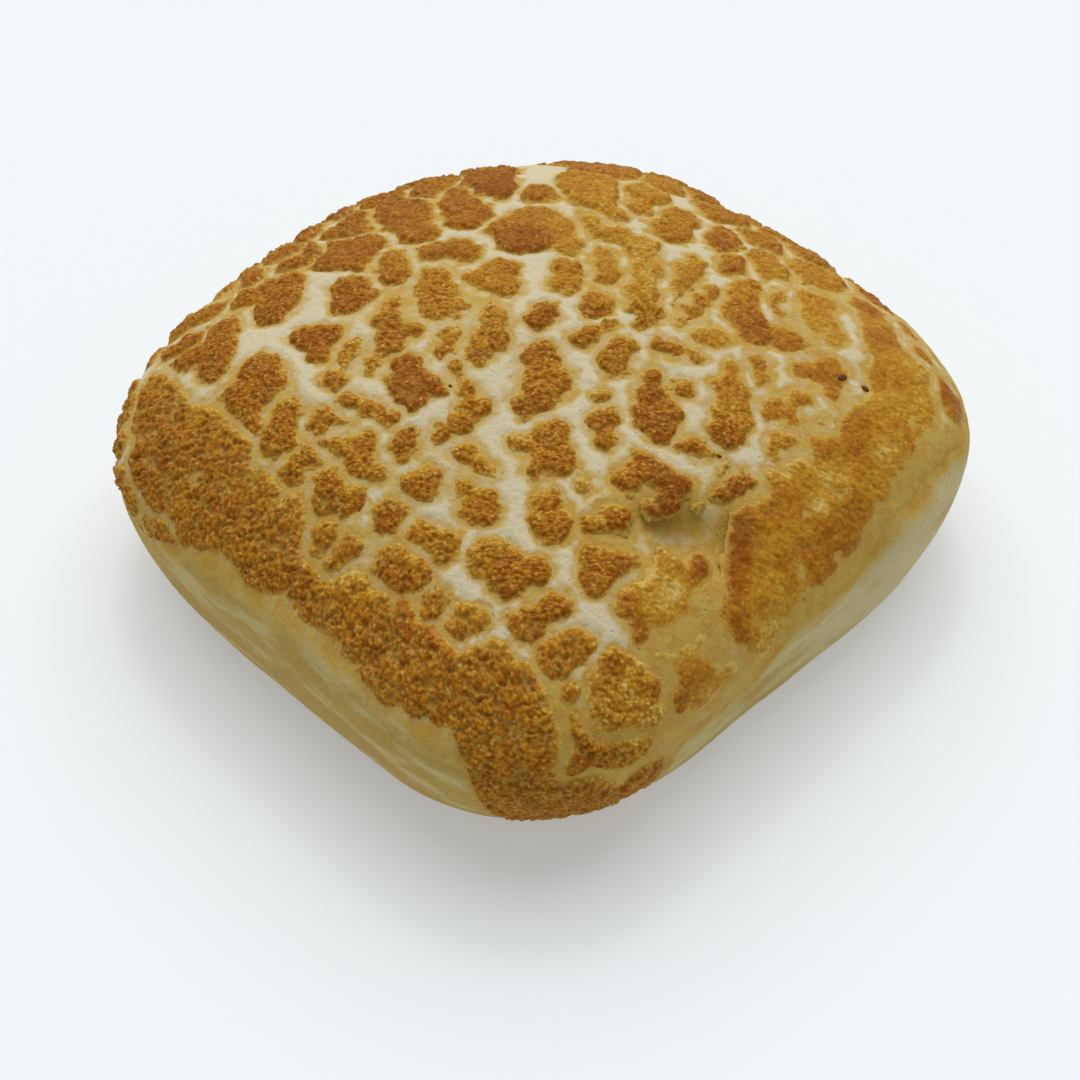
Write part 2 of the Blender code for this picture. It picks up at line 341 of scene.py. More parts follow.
class LoafColours(bpy.types.PropertyGroup):
    """Colours of the loaf's dough and paste."""

    dough: bpy.props.FloatVectorProperty(
        name="Dough",
        description="Bare dough in the cracks",
        subtype="COLOR",
        size=3,
        default=(0.65, 0.565, 0.365),
    )
    side: bpy.props.FloatVectorProperty(
        name="Side",
        description="Smooth pale sides that touched other loaves",
        subtype="COLOR",
        size=3,
        default=(0.57, 0.47, 0.205),
    )
    streak: bpy.props.FloatVectorProperty(
        name="Side streaks",
        description="Golden streaks drawn out along the sides",
        subtype="COLOR",
        size=3,
        default=(0.47, 0.31, 0.07),
    )
    # Painted shade: the dark colour laid in the small pits of the dough.
    painted_pit_shade: bpy.props.FloatVectorProperty(
        name="Pits",
        description="Floor of the small pits in the dough",
        subtype="COLOR",
        size=3,
        default=(0.2, 0.16, 0.1),
    )
    film: bpy.props.FloatVectorProperty(
        name="Paste film",
        description="Thin paste that stains the dough round a plate",
        subtype="COLOR",
        size=3,
        default=(0.55, 0.36, 0.07),
    )
    film_brown: bpy.props.FloatVectorProperty(
        name="Browned film",
        description="Thin paste where it browned",
        subtype="COLOR",
        size=3,
        default=(0.52, 0.33, 0.04),
    )
    base: bpy.props.FloatVectorProperty(
        name="Underside",
        description="Underside, browned on the baking sheet",
        subtype="COLOR",
        size=3,
        default=(0.36, 0.2, 0.07),
    )
    paste_pale: bpy.props.FloatVectorProperty(
        name="Pale paste",
        description="Paste that hardly browned",
        subtype="COLOR",
        size=3,
        default=(0.64, 0.45, 0.12),
    )
    paste_golden: bpy.props.FloatVectorProperty(
        name="Golden paste",
        description="Most of the crust",
        subtype="COLOR",
        size=3,
        default=(0.5, 0.255, 0.016),
    )
    paste_brown: bpy.props.FloatVectorProperty(
        name="Brown paste",
        description="Toasted crust",
        subtype="COLOR",
        size=3,
        default=(0.4, 0.152, 0.006),
    )
    paste_dark: bpy.props.FloatVectorProperty(
        name="Dark paste",
        description="The darkest toasted rims",
        subtype="COLOR",
        size=3,
        default=(0.27, 0.075, 0.003),
    )
    # Painted highlight: colour laid on grain tops as if they caught the light.
    glint: bpy.props.FloatVectorProperty(
        name="Glint",
        description="Glassy grains that catch the light",
        subtype="COLOR",
        size=3,
        default=(0.78, 0.48, 0.14),
    )
    speck: bpy.props.FloatVectorProperty(
        name="Burnt speck",
        description="Small burnt crumbs",
        subtype="COLOR",
        size=3,
        default=(0.02, 0.01, 0.006),
    )


class LoafStage(bpy.types.PropertyGroup):
    """Camera, lights and floor."""

    heading: bpy.props.FloatProperty(
        name="Camera heading",
        description="Turn of the camera round the loaf",
        subtype="ANGLE",
        default=math.radians(44.95),
    )
    elevation: bpy.props.FloatProperty(
        name="Camera elevation",
        description="Angle at which the camera looks down",
        subtype="ANGLE",
        default=math.radians(47.0),
    )
    distance: bpy.props.FloatProperty(
        name="Camera distance",
        description="Distance from the camera to the point that it looks at",
        default=0.4852,
        unit="LENGTH",
    )
    lens: bpy.props.FloatProperty(
        name="Lens",
        description="Focal length in millimetres on a 36 mm wide sensor",
        default=80.0,
    )
    key_power: bpy.props.FloatProperty(
        name="Main light",
        description="Strength of the broad soft light from above and behind",
        default=1.95,
    )
    glint_power: bpy.props.FloatProperty(
        name="Small light",
        description="Strength of the small light that makes the grains glint",
        default=0.35,
    )
    surround: bpy.props.FloatProperty(
        name="Surround",
        description="Brightness of the even light from all round",
        default=0.38,
    )
    floor: bpy.props.FloatVectorProperty(
        name="Floor",
        description="Plain pale floor",
        subtype="COLOR",
        size=3,
        default=(0.625, 0.65, 0.662),
    )
    floor_glow: bpy.props.FloatProperty(
        name="Floor glow",
        description="Light that the floor gives by itself",
        default=0.445,
    )


# ---------------------------------------------------------------------------------------------
# Small tools
# ---------------------------------------------------------------------------------------------


def feed(tree, socket, value):
    """Links a socket to an input, or sets the input to a value."""
    if isinstance(value, bpy.types.NodeSocket):
        tree.links.new(value, socket)
    elif value is not None:
        socket.default_value = value


def put(tree, kind, inputs=(), **settings):
    """Adds a node with its settings, its inputs given in order or by name."""
    node = tree.nodes.new(kind)
    for name, value in settings.items():
        setattr(node, name, value)
    pairs = inputs.items() if isinstance(inputs, dict) else enumerate(inputs)
    for key, value in pairs:
        feed(tree, node.inputs[key], value)
    return node


def calc(tree, operation, *values):
    """A math node's result."""
    return put(tree, "ShaderNodeMath", values, operation=operation).outputs[0]


def remap(tree, value, low, high, to_low=0.0, to_high=1.0, curve="SMOOTHSTEP"):
    """A value taken from one range to another, held at the ends."""
    inputs = (value, low, high, to_low, to_high)
    return put(tree, "ShaderNodeMapRange", inputs, interpolation_type=curve).outputs[0]


def blend_colours(tree, factor, first, second, kind="MIX"):
    """Two colours mixed by a factor."""
    node = put(tree, "ShaderNodeMix", data_type="RGBA", blend_type=kind)
    feed(tree, node.inputs[0], factor)
    feed(tree, node.inputs[6], rgba(first))
    feed(tree, node.inputs[7], rgba(second))
    return node.outputs[2]


def rgba(colour):
    """A colour with full alpha, or a socket as it is."""
    if isinstance(colour, bpy.types.NodeSocket):
        return colour
    return (*tuple(colour)[:3], 1.0)


def lattice(points, size, seed):
    """Random numbers for a lattice, and each point's cell and its place in the cell."""
    rng = np.random.default_rng(seed)
    table = rng.uniform(0.0, 1.0, (4096, 3)).astype(np.float32)
    scaled = points / size + rng.uniform(50.0, 90.0, 3)
    cell = np.floor(scaled).astype(np.int64)
    return table, cell, (scaled - cell).astype(np.float32)


def drawn(table, spot):
    """The three random numbers of the lattice's cells."""
    key = spot[:, 0] * 73856093 ^ spot[:, 1] * 19349663 ^ spot[:, 2] * 83492791
    return table[key & 4095]


def value_noise(points, size, seed):
    """Smooth random values from -1 to 1 at points, on a lattice of cells of a size."""
    table, cell, part = lattice(points, size, seed)
    ease = part * part * (3.0 - 2.0 * part)
    total = np.zeros(len(points), np.float32)
    for corner in itertools.product((0, 1), repeat=3):
        weight = np.where(corner, ease, 1.0 - ease).prod(axis=1)
        total += (2.0 * drawn(table, cell + corner)[:, 0] - 1.0) * weight
    return total


def grain_noise(points, size, seed):
    """Rounded grains packed side by side: 1 at a grain's middle, 0 where grains meet."""
    table, cell, part = lattice(points, size, seed)
    nearest = np.full(len(points), 4.0, np.float32)
    for corner in itertools.product((-1, 0, 1), repeat=3):
        away = drawn(table, cell + corner) + np.array(corner, np.float32) - part
        nearest = np.minimum(nearest, (away * away).sum(axis=1))
    return np.maximum(1.0 - np.sqrt(nearest) / 0.9, 0.0)


def smooth_step(value):
    """0 below 0, 1 above 1, and a smooth rise between."""
    t = np.clip(value, 0.0, 1.0)
    return t * t * (3.0 - 2.0 * t)


def vertex_array(mesh, field="co"):
    """The positions or the normals of a mesh's vertices, one row each."""
    values = np.empty(len(mesh.vertices) * 3, np.float32)
    if field == "co":
        mesh.vertices.foreach_get("co", values)
    else:
        mesh.vertex_normals.foreach_get("vector", values)
    return values.reshape(-1, 3).astype(np.float64)


def store(mesh, name, values, kind="FLOAT"):
    """Stores one value per vertex as a named attribute."""
    field = "vector" if kind == "FLOAT_VECTOR" else "value"
    attribute = mesh.attributes.new(name, kind, "POINT")
    attribute.data.foreach_set(field, np.ascontiguousarray(values, np.float32).ravel())


def link_object(name, mesh):
    """A new object in the scene with a mesh."""
    piece = bpy.data.objects.new(name, mesh)
    bpy.context.scene.collection.objects.link(piece)
    return piece


def baked_mesh(piece, name):
    """The piece's mesh with its modifiers applied, as plain data."""
    graph = bpy.context.evaluated_depsgraph_get()
    mesh = bpy.data.meshes.new_from_object(piece.evaluated_get(graph))
    mesh.name = name
    return mesh


# ---------------------------------------------------------------------------------------------
# The loaf's skin, taken from the solid
# ---------------------------------------------------------------------------------------------


def sphere_direction(corner):
    """Direction from the middle for a point of a two-unit cube, spread evenly over a sphere."""
    x2, y2, z2 = corner.x**2, corner.y**2, corner.z**2
    return Vector(
        (
            corner.x * math.sqrt(1.0 - y2 / 2.0 - z2 / 2.0 + y2 * z2 / 3.0),
            corner.y * math.sqrt(1.0 - z2 / 2.0 - x2 / 2.0 + z2 * x2 / 3.0),
            corner.z * math.sqrt(1.0 - x2 / 2.0 - y2 / 2.0 + x2 * y2 / 3.0),
        )
    )


def solid_tree():
    """The solid's surface, with its loose triangles merged, for rays."""
    solid = bmesh.new()
    solid.from_mesh(frame["nodes"]["loaf"].data)
    bmesh.ops.remove_doubles(solid, verts=solid.verts[:], dist=0.01 * MM)
    tree = BVHTree.FromBMesh(solid)
    solid.free()
    return tree


def cage_mesh(cells_across, cells_up):
    """A box grid laid on the solid by rays from the middle of the belly."""
    grid = bmesh.new()
    bmesh.ops.create_cube(grid, size=2.0)
    for axis, cells in ((0, cells_across), (1, cells_across), (2, cells_up)):
        normal = Vector([float(axis == other) for other in range(3)])
        for step in range(1, cells):
            bmesh.ops.bisect_plane(
                grid,
                geom=grid.verts[:] + grid.edges[:] + grid.faces[:],
                plane_co=normal * (2.0 * step / cells - 1.0),
                plane_no=normal,
            )
    solid = solid_tree()
    middle = Vector(((LOAF_LOW.x + LOAF_HIGH.x) / 2, (LOAF_LOW.y + LOAF_HIGH.y) / 2, BELLY_Z))
    half = (LOAF_HIGH - LOAF_LOW) / 2
    for vertex in grid.verts:
        ray = sphere_direction(vertex.co) * half
        vertex.co = solid.ray_cast(middle, ray.normalized())[0]
    mesh = bpy.data.meshes.new("cage")
    grid.to_mesh(mesh)
    grid.free()
    return mesh


def upper_cage(cage):
    """The cage without its underside, where there is no paste."""
    upper = bmesh.new()
    upper.from_mesh(cage)
    low = [face for face in upper.faces if max(v.co.z for v in face.verts) < 4 * MM]
    bmesh.ops.delete(upper, geom=low, context="FACES")
    mesh = bpy.data.meshes.new("upper cage")
    upper.to_mesh(mesh)
    upper.free()
    return mesh


def fine_skin(name, cage, levels):
    """A copy of the cage, subdivided smoothly."""
    piece = link_object(name, cage.copy())
    smooth = piece.modifiers.new("Smooth", "SUBSURF")
    smooth.levels = smooth.render_levels = levels
    mesh = baked_mesh(piece, name)
    bpy.data.objects.remove(piece)
    return mesh


def crust_line(points):
    """Height at which the paste ends, for points round the loaf."""
    heading = np.degrees(np.arctan2(points[:, 1], points[:, 0]))
    line = np.full(len(points), CRUST_LINE_Z)
    for direction, drop, half, fade in LINE_DROPS:
        gap = np.abs((heading - direction + 180.0) % 360.0 - 180.0)
        line -= drop * smooth_step((half + fade / 2 - gap) / fade)
    return line


def above_line(points):
    """Distance over the ragged edge where the paste ends, negative below it."""
    ragged = 1.4 * MM * value_noise(points, 9 * MM, 31) + 0.9 * MM * value_noise(points, 3 * MM, 32)
    return points[:, 2] - crust_line(points) + ragged


def hand_share(points):
    """1 well inside the stretch of crown whose plates are listed, 0 outside it."""
    share = np.ones(len(points))
    for axis, (low, high) in enumerate((HAND_PLACED_X, HAND_PLACED_Y)):
        inside = np.minimum(points[:, axis] - low, high - points[:, axis])
        share *= smooth_step(inside / (4 * MM))
    return share


# ---------------------------------------------------------------------------------------------
# The crack map: which plate a point belongs to and how far it lies inside its rim
# ---------------------------------------------------------------------------------------------


def lobes_on_crown(solid):
    """The listed lobes on the solid's surface: rows of x, y, z, radius, toast, plate."""
    sheets = [sum(sheet, ()) for sheet in THIN_SHEETS]
    rows = []
    for plate, lobes in enumerate((*CROWN_PLATES, *sheets, CLOSE_CRUST)):
        for x, y, radius, toast in lobes:
            above = Vector((x * MM, y * MM, LOAF_HIGH.z + 0.1))
            place = solid.ray_cast(above, DOWN)[0]
            if place is not None:
                browner = SHEET_TOAST if len(CROWN_PLATES) <= plate < CLOSE_PLATE else 0.0
                rows.append((*place, radius * MM, toast / 9.0 + browner, plate))
    for heading, level, radius in CLOSE_CORNER:
        turn = math.radians(heading)
        inward = Vector((-math.cos(turn), -math.sin(turn), 0.0))
        place = solid.ray_cast(Vector((0.0, 0.0, level * MM)) - inward, inward)[0]
        rows.append((*place, radius * MM, CLOSE_CORNER_TOAST, CLOSE_PLATE))
    rows = np.array(rows)
    rows[:, 3] += growth(rows)
    return rows


def growth(points):
    """How much wider than drawn a lobe is here, which narrows the cracks."""
    x, y = points[:, 0], points[:, 1]
    right = smooth_step((x - 48 * MM) / (12 * MM)) * smooth_step((y + 42 * MM) / (16 * MM))
    left = smooth_step((-x - 8 * MM) / (30 * MM)) * smooth_step((y + 28 * MM) / (30 * MM))
    far_left = left * smooth_step(y / (25 * MM))
    corner = smooth_step((x - 58 * MM) / (8 * MM)) * smooth_step((-y - 30 * MM) / (10 * MM))
    hollow = np.hypot(x - HOLLOW[0], y - HOLLOW[1]) / (11 * MM)
    share = 0.5 + 0.7 * dense_share(points) + 0.4 * right_share(points) + 0.9 * right
    share += 0.8 * back_share(points) + 0.8 * left + 0.5 * far_left + 0.5 * corner
    return MM * (share + 0.6 * back_left_share(points) - 0.8 * np.exp(-hollow * hollow))


def dense_share(points):
    """1 where the paste is finely cracked and close, towards the front, 0 elsewhere."""
    x, y = points[:, 0], points[:, 1]
    front = smooth_step((-y - 42 * MM) / (13 * MM))
    corner = smooth_step((x - y - 92 * MM) / (10 * MM)) * smooth_step((14 * MM - x - y) / (20 * MM))
    edge = smooth_step((-x - 46 * MM) / (8 * MM)) * smooth_step((y + 30 * MM) / (15 * MM))
    return np.maximum(np.maximum(front, corner), 0.7 * edge)


def right_share(points):
    """1 where the paste is thin, smooth and yellow, towards the right and its back, 0 elsewhere."""
    x, y = points[:, 0], points[:, 1]
    right = smooth_step((x - 50 * MM) / (12 * MM)) * smooth_step((y + 42 * MM) / (16 * MM))
    back = smooth_step((x - 12 * MM) / (25 * MM)) * smooth_step((y - 5 * MM) / (25 * MM))
    return np.maximum(right, back)


def margin_share(points):
    """1 down the side towards +X, where thin paste runs on without cracks, 0 elsewhere."""
    return smooth_step((points[:, 0] - 57 * MM) / (9 * MM))


def back_left_share(points):
    """1 round the rim towards the back and the left, where the plates run together, 0 elsewhere."""
    return smooth_step((points[:, 1] - points[:, 0] - 62 * MM) / (20 * MM))


def back_share(points):
    """1 towards the corner away from the viewer, where the paste is smoother, 0 elsewhere."""
    return smooth_step((points[:, 1] - 0.6 * points[:, 0] + 2 * MM) / (38 * MM))


def fill_spacing(points):
    """How far apart the random plates lie."""
    return 9.5 * MM - 3.2 * MM * dense_share(points) - 2.5 * MM * right_share(points)


def lobes_that_fill(points, rows, seed):
    """Random lobes over the rest of the crust, in pairs, each pair a plate of its own."""
    rng = np.random.default_rng(seed)
    order = rng.permutation(len(points))[:9000]
    spots = points[order]
    spacing = fill_spacing(spots) * rng.uniform(0.8, 1.2, len(spots))
    allowed = (above_line(spots) > -1.0 * MM) & (hand_share(spots) == 0.0)
    placed = rows[:, :3]
    radii = rows[:, 3]
    taken = np.zeros((0, 3))
    found = []
    plate = CLOSE_PLATE + 1
    for spot, gap, fits in zip(spots, spacing, allowed):
        if not fits:
            continue
        if (np.linalg.norm(placed - spot, axis=1) - radii).min() < 0.32 * gap:
            continue
        if len(taken) and np.linalg.norm(taken - spot, axis=1).min() < gap:
            continue
        taken = np.vstack([taken, spot])
        toast = rng.uniform(0.45, 0.75)
        found.append((*spot, 0.84 * gap, toast, plate))
        aside = rng.normal(size=3)
        aside *= 0.45 * gap / np.linalg.norm(aside)
        found.append((*(spot + aside), 0.70 * gap, toast + rng.uniform(-0.1, 0.15), plate))
        plate += 1
    return np.array(found)


def regional_toast(points):
    """How much browner or paler the crust is here than its plates say."""
    left = smooth_step((-points[:, 0] - 20 * MM) / (45 * MM))
    back = smooth_step(left * (points[:, 1] + 25 * MM) / (30 * MM))
    return 0.05 + 0.04 * left + 0.05 * back + 0.01 * right_share(points) - 0.01 * dense_share(points)


def plate_distances(points, rows):
    """Distances to the two nearest plates, which plates they are, and the toast near by."""
    broad_warp = 1.5 * MM - 0.9 * MM * hand_share(points)
    warp = np.stack(
        [
            broad_warp * value_noise(points, 7 * MM, 40 + axis)
            + 0.6 * MM * value_noise(points, 4.2 * MM, 46 + axis)
            + 0.65 * MM * value_noise(points, 2.6 * MM, 50 + axis)
            for axis in range(3)
        ],
        axis=1,
    )
    warped = (points + warp).astype(np.float32)
    centres = rows[:, :3].astype(np.float32)
    radii = rows[:, 3].astype(np.float32)
    browning = rows[:, 4].astype(np.float32)
    plates, starts = np.unique(rows[:, 5].astype(int), return_index=True)
    soft = np.float32(0.7 * MM)
    broad = np.float32(1.6 * MM)
    size = (centres**2).sum(axis=1)
    found = []
    for chunk in np.array_split(warped, len(warped) // 20000 + 1):
        square = (chunk**2).sum(axis=1)[:, None] + size - 2.0 * chunk @ centres.T
        away = np.sqrt(np.maximum(square, 0.0)) - radii
        reach = -soft * np.log(np.add.reduceat(np.exp(-away / soft), starts, axis=1) + 1e-30)
        every = np.arange(len(chunk))
        near = reach.argmin(axis=1)
        first = reach[every, near]
        reach[every, near] = 1.0
        next_near = reach.argmin(axis=1)
        weight = np.exp(-away / broad)
        toast = weight @ browning / weight.sum(axis=1)
        found.append((first, reach[every, next_near], plates[near], plates[next_near], toast))
    return [np.concatenate(part) for part in zip(*found)]


def sector_of_plates(points, rows):
    """A sector number for each plate, so that each sector holds about the same area."""
    _, _, owner, _, _ = plate_distances(points[above_line(points) > 0], rows)
    count = int(rows[:, 5].max()) + 1
    area = np.bincount(owner, minlength=count)
    heading = np.zeros(count)
    for plate in range(count):
        middle = rows[rows[:, 5] == plate, :2].mean(axis=0)
        heading[plate] = math.atan2(middle[1], middle[0])
    order = np.argsort(heading)
    reached = np.cumsum(area[order]) / area.sum()
    sector = np.zeros(count, int)
    sector[order] = np.minimum(reached * CRUST_PIECES, CRUST_PIECES - 1).astype(int)
    return sector


def crack_map(points, craft, crack_width):
    """For points of the skin: distance inside the plate's rim, the sector, and the toast."""
    first, second, owner, rival, toast = plate_distances(points, craft["rows"])
    sector = craft["sectors"][owner]
    apart = sector != craft["sectors"][rival]
    dense = dense_share(points)
    ragged = 0.30 * MM * value_noise(points, 2.1 * MM, 61)
    for size, depth, seed in ((2.4 * MM, 1.1 * MM, 62), (1.0 * MM, 0.45 * MM, 63)):
        ragged += depth * (grain_noise(points, size, seed) - 0.45)
    ragged *= 1.0 - 0.4 * right_share(points)
    half_gap = crack_width / 2 * (1.0 - 0.75 * np.maximum(dense, back_left_share(points)))
    between = np.where(apart, np.minimum(ragged, 0.0) - 0.1 * MM, ragged) - half_gap
    rim = np.minimum(ragged - first, (second - first) / 2.0 + between)
    return rim, sector, toast + regional_toast(points)


# ---------------------------------------------------------------------------------------------
# The paste's plates, cut out of the skin along their rims
# ---------------------------------------------------------------------------------------------


def cut_triangles(triangles, rim, sector):
    """Triangles cut where the rim distance is nought, their sectors, and the cut edges."""
    inside = rim[triangles] > 0.0
    highest = np.where(inside, sector[triangles], -1).max(axis=1)
    lowest = np.where(inside, sector[triangles], CRUST_PIECES).min(axis=1)
    keep = inside.any(axis=1) & (highest == lowest)
    triangles, inside, sectors = triangles[keep], inside[keep], highest[keep]
    count = inside.sum(axis=1)
    odd_one = np.where(count == 1, inside.argmax(axis=1), (~inside).argmax(axis=1))
    turn = (odd_one[:, None] + np.arange(3)) % 3
    turned = np.take_along_axis(triangles, turn, axis=1)
    whole = triangles[count == 3]
    tips = turned[count == 1]
    bays = turned[count == 2]
    cuts = np.vstack([tips[:, [0, 1]], tips[:, [0, 2]], bays[:, [2, 0]], bays[:, [1, 0]]])
    cuts, place = np.unique(cuts, axis=0, return_inverse=True)
    ends = np.cumsum([len(tips), len(tips), len(bays)])
    tip_one, tip_two, bay_two, bay_one = np.split(place.reshape(-1) + len(rim), ends)
    made = np.vstack(
        [
            whole,
            np.column_stack([tips[:, 0], tip_one, tip_two]),
            np.column_stack([bays[:, 1], bays[:, 2], bay_two]),
            np.column_stack([bays[:, 1], bay_two, bay_one]),
        ]
    )
    sectors = np.concatenate([sectors[count == size] for size in (3, 1, 2, 2)])
    return made, sectors, cuts


def at_cuts(values, cuts, share):
    """Values of the skin's vertices, with those of the cut points after them."""
    weight = share if values.ndim == 1 else share[:, None]
    return np.concatenate([values, values[cuts[:, 0]] * (1 - weight) + values[cuts[:, 1]] * weight])


def plate_meshes(skin, rim, sector, fields):
    """Meshes of the plates, one for each sector of the loaf, open on their undersides."""
    skin.calc_loop_triangles()
    triangles = np.empty(len(skin.loop_triangles) * 3, np.int32)
    skin.loop_triangles.foreach_get("vertices", triangles)
    made, sectors, cuts = cut_triangles(triangles.reshape(-1, 3).astype(np.int64), rim, sector)
    share = rim[cuts[:, 0]] / np.maximum(rim[cuts[:, 0]] - rim[cuts[:, 1]], 1e-9)
    share = np.clip(share, 0.15, 0.85)
    points = at_cuts(vertex_array(skin), cuts, share)
    out = at_cuts(vertex_array(skin, "normal"), cuts, share)
    rims = np.concatenate([rim, np.zeros(len(cuts))])
    meshes = []
    for index in range(CRUST_PIECES):
        used, corners = np.unique(made[sectors == index], return_inverse=True)
        mesh = bpy.data.meshes.new(f"crust_{index + 1}")
        mesh.from_pydata(points[used], [], corners.reshape(-1, 3))
        store(mesh, "rim", rims[used])
        store(mesh, "out", out[used], "FLOAT_VECTOR")
        for name, values in fields.items():
            store(mesh, name, at_cuts(values, cuts, share)[used])
        meshes.append(mesh)
    return meshes


def new_tree(name, inputs):
    """A geometry node tree with a mesh in and out, and named inputs."""
    tree = bpy.data.node_groups.new(name, "GeometryNodeTree")
    tree.interface.new_socket("Geometry", in_out="INPUT", socket_type="NodeSocketGeometry")
    for label, kind, default in inputs:
        socket = tree.interface.new_socket(label, in_out="INPUT", socket_type=f"NodeSocket{kind}")
        if default is not None:
            socket.default_value = default
    tree.interface.new_socket("Geometry", in_out="OUTPUT", socket_type="NodeSocketGeometry")
    return tree, tree.nodes.new("NodeGroupInput").outputs


def end_tree(tree, geometry, material):
    """Ends a tree with real geometry, its material and its output."""
    shaded = put(tree, "GeometryNodeSetShadeSmooth", (geometry,)).outputs[0]
    real = put(tree, "GeometryNodeRealizeInstances", (shaded,)).outputs[0]
    finished = put(tree, "GeometryNodeSetMaterial", {"Geometry": real, "Material": material})
    feed(tree, tree.nodes.new("NodeGroupOutput").inputs[0], finished.outputs[0])


def add_tree(piece, tree, values):
    """Puts a tree on a piece, with the tree's inputs set."""
    modifier = piece.modifiers.new(tree.name, "NODES")
    modifier.node_group = tree
    names = {item.name: item.identifier for item in tree.interface.items_tree if item.in_out == "INPUT"}
    for name, value in values.items():
        modifier[names[name]] = value


def bake_piece(piece):
    """Turns what a piece's modifiers make into its own plain mesh."""
    mesh = baked_mesh(piece, piece.name)
    piece.modifiers.clear()
    piece.data = mesh


def named(tree, name, kind="FLOAT"):
    """A stored attribute's values."""
    node = put(tree, "GeometryNodeInputNamedAttribute", {"Name": name}, data_type=kind)
    return node.outputs[0]


def grains(tree, position, size, seed=0.0):
    """Rounded grains packed side by side: height, 1 at a top and 0 where grains meet, and lot."""
    scaled = put(tree, "ShaderNodeVectorMath", (position,), operation="SCALE")
    feed(tree, scaled.inputs["Scale"], calc(tree, "DIVIDE", 1.0, size))
    moved = put(tree, "ShaderNodeVectorMath", (scaled.outputs[0], (seed, seed, seed)), operation="ADD")
    bend = put(tree, "ShaderNodeTexNoise", {"Vector": moved.outputs[0], "Scale": 1.3, "Detail": 1.0})
    shift = put(tree, "ShaderNodeVectorMath", (bend.outputs["Color"],), operation="SCALE")
    shift.inputs["Scale"].default_value = 0.85
    place = put(tree, "ShaderNodeVectorMath", (moved.outputs[0], shift.outputs[0]), operation="ADD")
    cells = put(tree, "ShaderNodeTexVoronoi", {"Vector": place.outputs[0], "Scale": 1.0})
    away = calc(tree, "MINIMUM", calc(tree, "DIVIDE", cells.outputs["Distance"], 0.8), 1.0)
    lot = put(tree, "ShaderNodeSeparateXYZ", (cells.outputs["Color"],)).outputs[0]
    return calc(tree, "SUBTRACT", 1.0, calc(tree, "POWER", away, 1.6)), lot


def creases(tree, position, size):
    """1 along a broken net of narrow valleys, 0 between them."""
    scaled = put(tree, "ShaderNodeVectorMath", (position,), operation="SCALE")
    feed(tree, scaled.inputs["Scale"], calc(tree, "DIVIDE", 1.0, size))
    bend = put(tree, "ShaderNodeTexNoise", {"Vector": scaled.outputs[0], "Scale": 1.6, "Detail": 2.0})
    shift = put(tree, "ShaderNodeVectorMath", (bend.outputs["Color"],), operation="SCALE")
    shift.inputs["Scale"].default_value = 0.9
    place = put(tree, "ShaderNodeVectorMath", (scaled.outputs[0], shift.outputs[0]), operation="ADD")
    cells = put(
        tree,
        "ShaderNodeTexVoronoi",
        {"Vector": place.outputs[0], "Scale": 1.0},
        feature="DISTANCE_TO_EDGE",
    )
    valley = remap(tree, cells.outputs["Distance"], 0.02, 0.24, 1.0, 0.0)
    broken = remap(tree, soft_noise(tree, scaled.outputs[0], 1.7), 0.36, 0.56)
    return calc(tree, "MULTIPLY", valley, broken)


def soft_noise(tree, position, size, detail=2.0):
    """Smooth noise from 0 to 1 with waves of a size."""
    scale = calc(tree, "DIVIDE", 1.0, size) if isinstance(size, bpy.types.NodeSocket) else 1.0 / size
    return put(
        tree,
        "ShaderNodeTexNoise",
        {"Vector": position, "Scale": scale, "Detail": detail},
    ).outputs[0]


